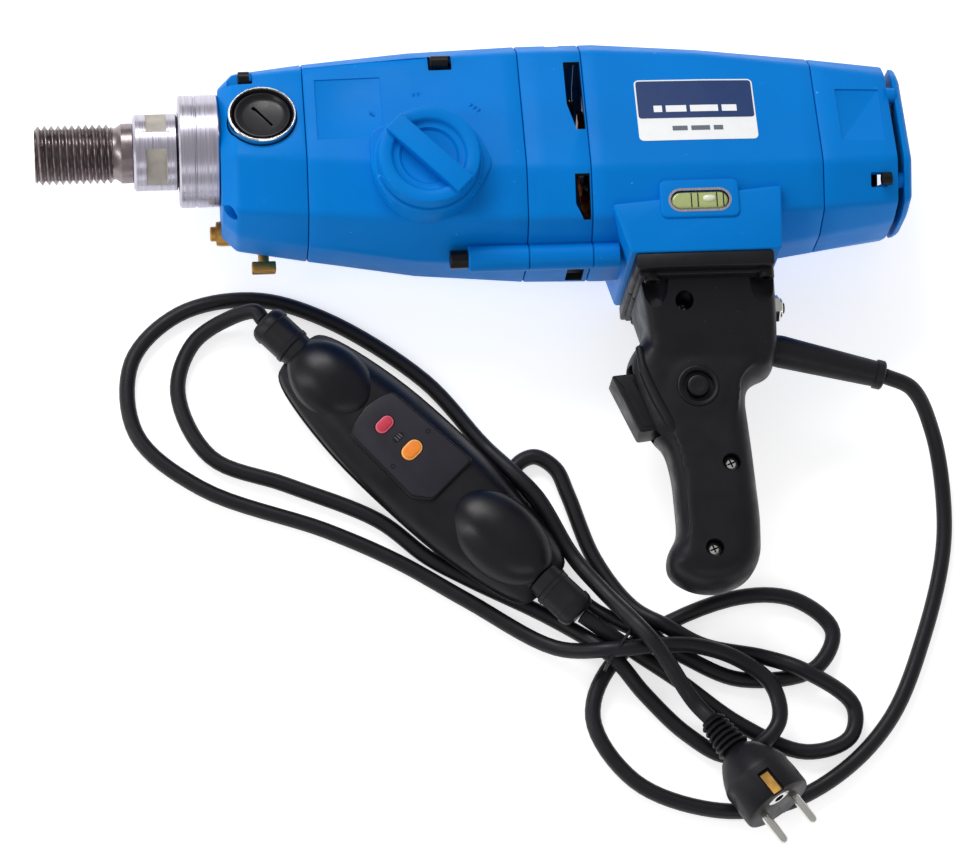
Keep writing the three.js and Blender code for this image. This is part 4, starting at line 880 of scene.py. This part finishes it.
def make_rear():
    cuts = facet_fields(427, 451, 15, -18, 0.8)
    for side in (1, -1):
        low, high = sorted((34 * side, 60 * side))
        cuts.append(block((441, -44, low), (450, -36.5, high), 0.8))
    piece("rear_cover_finish", shell(MOTOR_REAR, COVER_REAR), "blue", "rear_cover", cuts=cuts)
    # A plain near-black ring just inside the open end of the rear cover: painted shade seen through the gap
    # before the end cap.
    gap_shade = ((-2.2, 1.5), (-0.6, 1.5), (-0.5, 14), (-2.2, 14))
    gap_shade = [section(COVER_REAR + x, shrink) for x, shrink in gap_shade]
    piece("rear_gap_shade", loft(gap_shade, closed=True), "inner")
    # Each ring of the end cap: where it lies, how far it is drawn in, and where its outline is taken.
    rim = [(459.5, 2.0, 459.6), (459.6, 1.3, 459.5), (460, 0.8, 460), (461.8, 0.9, 461.6), (463, 1.8, 463),
           (463.9, 3.8, 463.9), (463.9, 6, 463.9)]
    piece("rear_cap_finish", loft([section_at(*ring) for ring in rim]), "blue", "rear_cap")
    spots = [(y, z * side) for y, z in ((12, 24), (-38, 30)) for side in (1, -1)]
    posts = [shifted(lathe([(455, 0), (455, 4.6), (459.8, 4), (459.8, 0)], 24), 0, y, z) for y, z in spots]
    piece("rear_posts", merged(*posts), "blue")
    heads = [screw_head(446.5, -40.2, side * 40, FORWARDS, 3.4, 5.5, 1.8) for side in (1, -1)]
    piece("rear_screws", merged(*heads), "black_steel")


# ---------------------------------------------------------------- spindle and collar

INCH = 25.4
THREAD_RADIUS = 1.25 * INCH / 2
THREAD_PITCH = INCH / 7
THREAD_DEPTH, THREAD_LENGTH = 2.2, 41.6
BORE_RADIUS = 4.6


def make_thread():
    """The external screw thread, its flanks running round in a helix and fading out at the root."""
    sides, steps_per_pitch = 64, 12
    steps = int(THREAD_LENGTH / THREAD_PITCH * steps_per_pitch)
    turns = [2 * math.pi * j / sides for j in range(sides)]
    rings = []
    for k in range(steps + 1):
        x = THREAD_LENGTH * k / steps
        chamfer = min(1, x / THREAD_PITCH + 0.3)
        runout = min(1, (THREAD_LENGTH - x) / 1.5 + 0.1)
        ring = []
        for j, turn in enumerate(turns):
            phase = (x / THREAD_PITCH - j / sides) % 1
            flank = min(1, max(0, abs(phase - 0.5) * 2.5 - 0.14))
            r = THREAD_RADIUS - THREAD_DEPTH * max(flank, 1 - chamfer, 1 - runout)
            ring.append(v(x, r * math.cos(turn), r * math.sin(turn)))
        rings.append(ring)
    for x in (THREAD_LENGTH, 0):
        rings.append([v(x, BORE_RADIUS * math.cos(t), BORE_RADIUS * math.sin(t)) for t in turns])
    return loft(rings, closed=True)


def make_spindle():
    piece("spindle_thread", make_thread(), "thread", "spindle", "spindle", sharp=40)
    neck = [(40, 5), (40, 13.6), (43, 13.8), (45.4, 15.4), (46, 16), (51.8, 16), (52.3, 15.6), (52.3, 5)]
    piece("spindle_neck", lathe(neck, hollow=True), "thread", rides="spindle")
    hub = [(52.3, 8), (52.3, 19.2), (53.6, 20.5), (75, 20.5), (75.6, 19.9), (75.6, 8)]
    flats = [moved(block((59, 17.5, -20), (70, 30, 20), 0.3, 1), turned(45 + 90 * k, "X")) for k in range(4)]
    piece("spindle_hub", lathe(hub, 96, hollow=True), "steel", rides="spindle", slot="spindle_steel",
          cuts=flats, cut_material="flat")
    groove = [(75.6, 11), (75.6, 19), (78, 19), (78, 11)]
    piece("spindle_shoulder", lathe(groove, hollow=True), "dark", rides="spindle")
    collar = [(76.3, 21.6), (76.3, 28.8), (77.3, 30), (84.5, 30), (84.9, 29.5), (85.5, 29.5), (85.9, 30),
              (97, 30), (97.7, 29.4), (97.7, 22)]
    piece("clamping_collar_finish", lathe(collar, 96, hollow=True), "steel", "clamping_collar")
    seal = [(77.2, 12.8), (77.2, 21.5), (78, 21.9), (83, 21.9), (83, 12.8)]
    piece("spindle_seal_finish", lathe(seal, hollow=True), "rubber", "spindle_seal")


# ---------------------------------------------------------------- handle

GRIP_OUTLINE = [
    (316, -90), (320, -112), (310, -124), (308, -133), (313, -150), (319, -168), (326, -174), (329, -190),
    (330, -222), (323, -232), (323, -243), (335, -251.5), (350, -253.5), (365, -248), (373, -236),
    (374, -215), (372, -176), (370, -148), (374, -139.5), (385, -136), (388, -128), (388, -112),
    (386.5, -96), (386, -88),
]
GRIP_HALF_WIDTH = 18
# How far the grip's outline is drawn in at each distance from its middle plane.
GRIP_ROUNDING = [(GRIP_HALF_WIDTH + 1, 11), (GRIP_HALF_WIDTH, 7.5), (16, 4.6), (13, 2.4), (9, 0.9), (5, 0.2),
                 (0, 0)]
# Cross-sections of the widening up to the flange: height, front, back and half width.
FLARE = [(-84, 315.6, 387.5, 34), (-96, 316.6, 387.6, 32), (-106, 318.5, 388.2, 28), (-116, 320, 388.4, 23.5),
         (-126, 320.5, 388, 19.5), (-134, 322, 384, 17)]
HANDLE_SCREWS = {"top": (338.5, -101), "middle": (359, -187), "bottom": (347, -233)}
LOCK_CENTRE = (344, -145)
FLANGE_SCREWS = [(321.5, 36), (381.5, 37)]


def on_side(body, side):
    return mirrored(body) if side < 0 else body


def softened(body, voxel, passes):
    """The body's shape with its edges melted together, as a moulding's are."""
    mesh = bpy.data.meshes.new("rough")
    body.to_mesh(mesh)
    body.free()
    rough = bpy.data.objects.new("rough", mesh)
    bpy.context.collection.objects.link(rough)
    remesh = rough.modifiers.new("remesh", "REMESH")
    remesh.mode = "VOXEL"
    remesh.voxel_size = voxel
    smooth = rough.modifiers.new("smooth", "SMOOTH")
    smooth.factor = 0.5
    smooth.iterations = passes
    result = bmesh.new()
    result.from_object(rough, bpy.context.evaluated_depsgraph_get())
    bpy.data.objects.remove(rough)
    bpy.data.meshes.remove(mesh)
    return result


def grip_body():
    """Grip, thumb swell and the widening up to the flange, in one soft form."""
    outline = [Vector(p) for p in round_corners(GRIP_OUTLINE, 7, 4)]
    layers = GRIP_ROUNDING + [(-z, margin) for z, margin in reversed(GRIP_ROUNDING[:-1])]
    core = loft(flat_rings([(inset(outline, margin), z) for z, margin in layers]))
    rings = []
    for y, x0, x1, z1 in FLARE:
        corners = round_corners([(x0, -z1), (x1, -z1), (x1, z1), (x0, z1)], 9, 5)
        rings.append([v(p.x, y, p.y) for p in corners])
    x, y = LOCK_CENTRE
    swell = [upright(x, y, 14.5, -17, 19.4, 40), upright(x + 3, y - 2, 19, -17, 17, 40)]
    return softened(merged(core, loft(rings), *swell), 1.15, 18)


def half_of(body, side):
    """The half of a shape on one side of the tool's middle plane."""
    kept = body.copy()
    gap = 0.15
    geometry = kept.verts[:] + kept.edges[:] + kept.faces[:]
    bmesh.ops.bisect_plane(kept, geom=geometry, plane_co=(0, 0, gap * side), plane_no=(0, 0, -side),
                           clear_outer=True)
    rim = [e for e in kept.edges if e.is_boundary]
    bmesh.ops.triangle_fill(kept, edges=rim, use_beauty=True)
    bmesh.ops.recalc_face_normals(kept, faces=kept.faces)
    return kept


def flange_half():
    plate = block((312.5, -87.5, 0.15), (385.5, -79.5, 46), 1.2)
    step = block((314.5, -90, 0.15), (385, -86, 40), 1.0)
    return merged(plate, step)


def make_handle():
    whole = grip_body()
    trigger_slot = [(296, -131), (336, -128), (336, -169.3), (308, -169.3)]
    screw_pocket = [(-106, 0), (-106, 6.0), (-98, 8.4), (-86.5, 9.0), (-86.5, 0)]
    for name, side in (("near", 1), ("far", -1)):
        cuts = [hull([v(x, y, z) for z in (-11.6, 11.6) for x, y in trigger_slot])]
        cuts += [on_side(upright(x, y, 4.9, 12, 60), side) for x, y in HANDLE_SCREWS.values()]
        if side > 0:
            cuts.append(upright(*LOCK_CENTRE, 8.6, 16.4, 24, 48))
        for x, z in FLANGE_SCREWS:
            place = Matrix.Translation((x, 0, z - 1.5)) @ turned(90, "Z")
            cuts.append(on_side(moved(lathe(screw_pocket, 36), place), side))
        piece(f"grip_{name}", half_of(whole, side), "plastic", f"handle_{name}_shell", cuts=cuts, sharp=50)
        piece(f"flange_{name}", on_side(flange_half(), side), "plastic")
        piece(f"guard_ridge_{name}", on_side(guard_ridge(), side), "plastic")
        heads = [screw_head(x, -92.5, z * side, DOWNWARDS, 4.4, 6, 2.2) for x, z in FLANGE_SCREWS]
        piece(f"flange_screws_{name}", merged(*heads), "black_steel")
    whole.free()


def guard_ridge():
    """Raised rib beside the trigger that keeps the finger off its edge."""
    path = [v(314.5, -122, 15.6), v(316, -134, 16.6), v(321.5, -150, 17.2), v(328, -164, 17.2),
            v(331.5, -171, 15.6)]
    return tube(path, [2.0, 2.7, 2.9, 2.7, 1.8], 14)


def tube(path, radii, sides):
    """A round rod along a smooth path with a radius at each of its points, closed at both ends."""
    per = 6
    spots = catmull(path, per)
    sizes = [mix(a, b, k / per) for a, b in zip(radii, radii[1:]) for k in range(per)] + [radii[-1]]
    turns = [2 * math.pi * j / sides for j in range(sides)]
    rings = []
    for k, (spot, size) in enumerate(zip(spots, sizes)):
        along = (spots[min(k + 1, len(spots) - 1)] - spots[max(k - 1, 0)]).normalized()
        first = along.orthogonal().normalized() if k == 0 else (first - along * first.dot(along)).normalized()
        second = along.cross(first)
        rings.append([spot + size * (first * math.cos(t) + second * math.sin(t)) for t in turns])
    start = spots[0] - (spots[1] - spots[0]).normalized() * sizes[0] * 0.4
    end = spots[-1] + (spots[-1] - spots[-2]).normalized() * sizes[-1] * 0.4
    first_cap = [start + (p - spots[0]) * 0.6 for p in rings[0]]
    last_cap = [end + (p - spots[-1]) * 0.6 for p in rings[-1]]
    return loft([first_cap] + rings + [last_cap])


def make_grip_screws():
    """Pan heads with a cross recess, down in the grip's screw holes."""
    low, high, radius = 12.7, 15.3, 4.2
    height = high - low
    profile = [(low - 2, 0), (low - 2, radius), (low + height * 0.45, radius),
               (low + height * 0.8, radius * 0.82), (high, radius * 0.5), (high + 0.1, 0)]
    for name, (x, y) in HANDLE_SCREWS.items():
        cross = []
        for turn in (20, 110):
            arm = block((-2.1, -0.45, 13.6), (2.1, 0.45, 18), 0.15, 1)
            cross.append(moved(arm, Matrix.Translation((x, y, 0)) @ turned(turn, "Z")))
        # The cross recess is cut with near-black walls: painted shade in the recess.
        piece(f"grip_screw_{name}", moved(lathe(profile, 36), standing(x, y)), "chrome",
              f"handle_screw_{name}", cuts=cross, cut_material="inner")


def make_trigger():
    blade = round_corners([(299.5, -135.5), (312, -134.5), (325, -165.5), (313, -167)], 1.6, 4)
    face = round_corners([(303.8, -137.5), (310.4, -137), (322, -163.6), (315.2, -164.4)], 1.2)
    shapes = [rounded_slab(blade, -11, 11, 1.1, 1.1), block((310, -153, -5), (320, -142, 5), 0.6)]
    shapes.append(rounded_slab(face, 10.4, 11.5, 0.5))
    piece("trigger_finish", merged(*shapes), "plastic", "trigger", "trigger")


def make_lock_button():
    seat = standing(*LOCK_CENTRE)
    cap = [(12, 0), (12, 7.6), (13.4, 7.6), (13.6, 6), (19.4, 6), (20.2, 5.5), (20.5, 4.6), (20.3, 3),
           (20.2, 0)]
    piece("lock_button_finish", moved(lathe(cap, 48), seat), "gloss", "lock_button", "lock_button")
    collar = [(15.5, 8.7), (15.5, 12.2), (18.6, 11.8), (20.0, 11.0), (20.3, 10.2), (19.8, 9.2), (18.4, 8.7)]
    piece("lock_button_collar", moved(lathe(collar, 56, hollow=True), seat), "plastic")


def make_overload_breaker():
    nut = lathe([(386, 0), (386, 7.0), (388.6, 7.4), (391.6, 7.4), (392.4, 6.8), (392.4, 0)], 6)
    neck = lathe([(385, 0), (385, 5.4), (393.2, 5.4), (393.6, 5.0), (393.6, 0)], 36)
    knob = lathe([(391, 0), (391, 3), (394.4, 3), (394.9, 2.6), (395, 0)], 30)
    place = (0, -99, 4)
    piece("overload_breaker_finish", shifted(merged(nut, neck), *place), "chrome", "overload_breaker",
          slot="plated_steel")
    piece("overload_button_finish", shifted(knob, *place), "gloss", "overload_button", "overload_button")


def make_strain_relief():
    start, end = v(388.3, -121, 0), v(447, -135, -7)
    length = (end - start).length
    profile = [(-4, 0), (-4, 7.6), (2, 8.6), (4, 8.7), (12, 8.4), (length - 10, 7.2), (length - 5, 7.0),
               (length - 4.4, 7.9), (length - 0.8, 7.9), (length, 7.2), (length, 0)]
    piece("strain_relief_finish", along_line(lathe(profile, 48), start, end), "rubber", "cord_strain_relief")


def make_water_fittings():
    inlet = lathe([(92, 0), (92, 3.4), (92.6, 4), (95, 4), (95.4, 6.4), (98, 6.8), (104, 6.8), (104, 0)], 36)
    piece("water_inlet_finish", shifted(inlet, 0, -40, -20), "brass", "water_inlet")
    stem = lathe([(-60, 0), (-60, 3), (-45, 3), (-45, 0)], 30)
    stem = moved(stem, Matrix.Translation((120, 0, -18)) @ turned(90, "Z"))
    lever = merged(block((113.5, -63.5, -21), (126.5, -57.6, -15), 0.8), stem)
    piece("tap_lever_finish", lever, "brass", "water_tap_lever", "water_tap_lever")


# ---------------------------------------------------------------- in-line breaker

BREAKER_HALF_LENGTH, BREAKER_HALF_WIDTH = 93.5, 29.5
# One side of the breaker seen from above, as shares of its half length and half width.
BREAKER_SIDE = [(-1, 0.3), (-0.95, 0.6), (-0.75, 0.8), (-0.4, 0.96), (0, 1), (0.4, 0.96), (0.75, 0.8),
                (0.95, 0.6), (1, 0.3)]
# The base's layers: height, and how much of the length and width it spans there.
BREAKER_BASE = [(0, 0.42, 0.55), (0.4, 0.47, 0.6), (2, 0.58, 0.7), (5, 0.77, 0.84), (9, 0.92, 0.95),
                (11.5, 0.975, 0.985), (12.6, 0.99, 1), (13.6, 0.99, 1), (14, 0.985, 0.99)]
# The cover's layers: height, and how far its outline is drawn in.
BREAKER_COVER = [(14.3, 1.0), (15.5, 0.8), (18, 2.2), (21.5, 4.8), (24.5, 8), (26.6, 11.5), (27.6, 15),
                 (28.0, 19)]
PANEL = [(-37, -17), (-40.5, -11), (-42.5, 0), (-40.5, 11), (-37, 17), (19, 19), (19, 2), (19, -12),
         (10, -19)]
GLAND_HEIGHT = 18


def breaker_outline(margin):
    """Widest in the middle, narrowing to each gland."""
    end, half = BREAKER_HALF_LENGTH - margin, BREAKER_HALF_WIDTH - margin
    side = [(end * a, half * b) for a, b in BREAKER_SIDE]
    return smooth_loop(side + [(x, -y) for x, y in reversed(side)], 4)


def scaled(outline, along, across):
    return [Vector((p.x * along, p.y * across)) for p in outline]


def button_slots():
    """Cutting shapes for the two buttons' openings."""
    return [rounded_slab(stadium(-28, 0, 11.9, 7.9), 20, 40, 0),
            rounded_slab(stadium(-8, 0, 13.4, 9.4), 20, 40, 0)]


def breaker_piece(name, body, material, replaces=None, rides="tool", **options):
    piece(name, body, material, replaces, rides, BREAKER, **options)


def make_breaker():
    full = breaker_outline(0)
    base = loft(flat_rings([(scaled(full, along, across), z) for z, along, across in BREAKER_BASE]))
    breaker_piece("breaker_base_finish", base, "plastic", "breaker_base", sharp=45)
    layers = [(scaled(breaker_outline(margin), 1 - margin * 0.0035, 1), z) for z, margin in BREAKER_COVER]
    breaker_piece("breaker_cover_finish", loft(flat_rings(layers)), "gloss", "breaker_cover",
                  cuts=button_slots(), sharp=45)
    deck = rounded_slab(round_corners(PANEL, 2), 22, 29.9, 1.1)
    film = rounded_slab(round_corners([(x * 0.965 - 0.4, y * 0.93) for x, y in PANEL], 2), 29.6, 30.25, 0.15)
    breaker_piece("breaker_deck", deck, "plastic", cuts=button_slots())
    breaker_piece("breaker_panel", film, "panel", cuts=button_slots())
    for name, x, length, width, face, rim in (("off", -28, 11, 7, "red", "pink"),
                                              ("on", -8, 12.5, 8.5, "orange", "amber")):
        node = f"breaker_{name}_button"
        edge = rounded_slab(stadium(x, 0, length, width), 24, 31.0, 0.5)
        middle = rounded_slab(stadium(x, 0, length - 1.7, width - 1.7), 30, 31.5, 0.6)
        breaker_piece(f"{name}_button_rim", edge, rim, node, node)
        breaker_piece(f"{name}_button_face", middle, face, rides=node)
    screws = [shifted(screw_head(0, 0, 0, (0, 0, 1), 1.7, 3, 0.8), -9, y, 30.4) for y in (-13.5, 13.5)]
    breaker_piece("panel_screws", merged(*screws), "inner")
    breaker_piece("panel_window", rounded_slab(stadium(-18, 0, 7, 4), 29.8, 30.4, 0.2), "inner")
    marks = [block((-19.4, y, 30.3), (-16.6, y + 0.5, 30.46), 0) for y in (-1.6, 0.0, 1.4)]
    breaker_piece("panel_window_marks", merged(*marks), "print_grey")


def dome(centre, radii, flat_z):
    """A smooth swelling of the cover towards a gland, cut flat underneath."""
    layers, count = 12, 56
    turns = [2 * math.pi * j / count for j in range(count)]
    rings = []
    for k in range(layers + 1):
        lift = math.pi / 2 * k / layers
        shrink = max(math.cos(lift), 1e-4)
        height = flat_z + radii[2] * math.sin(lift)
        rings.append([v(centre + radii[0] * shrink * math.cos(t), radii[1] * shrink * math.sin(t), height)
                      for t in turns])
    return loft(rings)


def make_breaker_ends():
    domes = merged(dome(-66, (27, 20, 15), 20), dome(57, (33, 21.5, 16), 20))
    breaker_piece("breaker_domes", domes, "gloss", sharp=45)
    profile = [(-6, 0), (-6, 9.4), (0, 9.6), (0.8, 10.5), (3, 10.6), (3.4, 10.2), (15, 10.2), (15.6, 10.8),
               (18.5, 10.6), (20.6, 9.8), (22, 8.4), (22, 0)]
    for name, side in (("plug", -1), ("tool", 1)):
        start = (side * (BREAKER_HALF_LENGTH + 0.3), 0, GLAND_HEIGHT)
        end = (side * (BREAKER_HALF_LENGTH + 50), 0, GLAND_HEIGHT)
        gland = along_line(lathe(profile, 56), start, end)
        breaker_piece(f"gland_{name}_finish", gland, "rubber", f"breaker_gland_{name}_end")


# ---------------------------------------------------------------- plug

PLUG_LENGTH, PLUG_RADIUS = 59.4, 19
PIN_LENGTH, PIN_RADIUS, PIN_OFFSET = 19, 2.4, 9.5


def plug_piece(name, body, material, replaces=None, **options):
    piece(name, body, material, replaces, place=PLUG, **options)


def make_plug():
    end = PLUG_LENGTH
    profile = [(0, 0), (0, 5.6)]
    for k in range(6):
        x = 1.5 + 3.4 * k
        size = 6.4 + 0.38 * k
        rib = ((0, -1.5), (0.3, 0.4), (1.0, 0.8), (1.7, 0.4), (2.0, -1.5))
        profile += [(x + dx, size + rise) for dx, rise in rib]
    profile += [(22.4, 8.2), (24.5, 11), (28, 13.4), (33, 16.2), (38, 18.2), (40, 18.9), (41, PLUG_RADIUS),
                (end - 1.6, PLUG_RADIUS), (end - 0.5, 18.6), (end, 17.6), (end, 0)]
    cuts = []
    for side in (1, -1):
        low, high = sorted((side * (PLUG_RADIUS - 2.8), side * (PLUG_RADIUS + 2)))
        cuts.append(block((45, -3.6, low), (end + 1, 3.6, high), 0.4))
    for side in (-1, 1):
        notch = ((36, 19.4), (36, 22), (50, 22), (50, 18.4), (44, 17.0))
        cuts.append(hull([v(x, y * side, z) for z in (-30, 30) for x, y in notch]))
    cuts.append(shifted(lathe([(end - 9, 0), (end - 9, 3.0), (end + 2, 3.0), (end + 2, 0)], 36), 0, 0, 10))
    plug_piece("plug_finish", lathe(profile, 88), "plastic", "plug_body", cuts=cuts, sharp=38)
    strips = []
    for side in (-1, 1):
        low, high = sorted((side * (PLUG_RADIUS - 2.9), side * (PLUG_RADIUS - 2.1)))
        strips.append(block((46, -2.6, low), (end - 0.8, 2.6, high), 0.2, 1))
    plug_piece("earth_strips", merged(*strips), "brass", slot="machined_steel")
    eye = [(-6.4, 0), (-3.8, 3.1), (0, 4.3), (3.8, 3.1), (6.4, 0), (3.8, -3.1), (0, -4.3), (-3.8, -3.1)]
    turn = Matrix.Translation((end - 0.25, 0, 10)) @ turned(90, "Y") @ turned(90, "Z")
    rim = moved(rounded_slab(smooth_loop(eye, 4), 0, 0.6, 0.2), turn)
    hole = moved(upright(0, 0, 2.7, -2, 3), turn)
    # The hole through the rim gets near-black walls: painted shade in the socket.
    plug_piece("earth_socket", rim, "chrome", cuts=[hole], cut_material="inner")
    tip = end + PIN_LENGTH
    for name, side in (("left", -1), ("right", 1)):
        pin = lathe([(end - 7.5, 0), (end - 7.5, PIN_RADIUS), (tip - 2.4, PIN_RADIUS), (tip - 0.8, 2.0),
                     (tip - 0.1, 1.2), (tip, 0)], 36)
        plug_piece(f"pin_{name}_finish", shifted(pin, 0, side * PIN_OFFSET, 0), "chrome", f"plug_pin_{name}")


# ---------------------------------------------------------------- cord tie and inner pieces


def make_cord_tie():
    """Black twist tie holding the bundle where the cords cross."""
    centre, steps = v(68, -170, 15), 24
    across = v(0.62, 0.78, 0).normalized()
    path = []
    for k in range(steps + 1):
        t = 2 * math.pi * k / steps
        advance = v(0.78, -0.62, 0) * (1.6 * k / steps)
        path.append(centre + across * 15.5 * math.cos(t) + v(0, 0, 1) * 13.5 * math.sin(t) + advance)
    loop = tube(path, [0.9] * (steps + 1), 10)
    tails = tube([v(78, -157.5, 10), v(80, -153, 8), v(79, -149, 6.5)], [0.8, 0.8, 0.7], 10)
    piece("cord_tie", merged(loop, tails), "rubber", place=MM)


# Materials of the CAD nodes whose shapes are kept.
KEPT_NODES = {
    "gear": [
        "spindle_front_bearing", "spindle_rear_bearing", "spindle_high_gear", "spindle_low_gear",
        "shift_sleeve",
        "countershaft", "countershaft_drive_gear", "countershaft_front_bearing", "countershaft_rear_bearing",
        "armature_shaft", "armature_front_bearing", "armature_rear_bearing",
    ],
    "dark": ["armature_core", "stator_core"],
    "copper": ["commutator", "field_coil_near", "field_coil_far"],
    "brass": ["shift_fork", "brush_holder_upper", "brush_holder_lower"],
    "carbon": ["carbon_brush_upper", "carbon_brush_lower"],
    "plastic": ["cooling_fan", "trigger_switch"],
}


def finish_kept_nodes():
    for material, nodes in KEPT_NODES.items():
        for node in nodes:
            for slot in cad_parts[node].material_slots:
                slot.material = MATERIALS[material]


# ---------------------------------------------------------------- build

MATERIALS = make_materials()
make_camera()
make_studio()
tool_cord = cord("tool_cord", TOOL_CORD_ROUTE, "cord_tool")
plug_cord = cord("plug_cord", PLUG_CORD_ROUTE, "cord_plug")
make_front_cap()
make_nose_cap()
make_gear_housing()
make_speed_marks()
make_knob()
make_fan_housing()
make_motor_housing()
make_label()
make_level()
make_rear()
make_spindle()
make_handle()
make_grip_screws()
make_trigger()
make_lock_button()
make_overload_breaker()
make_strain_relief()
make_water_fittings()
make_breaker()
make_breaker_ends()
make_plug()
finish_kept_nodes()
make_cord_tie()
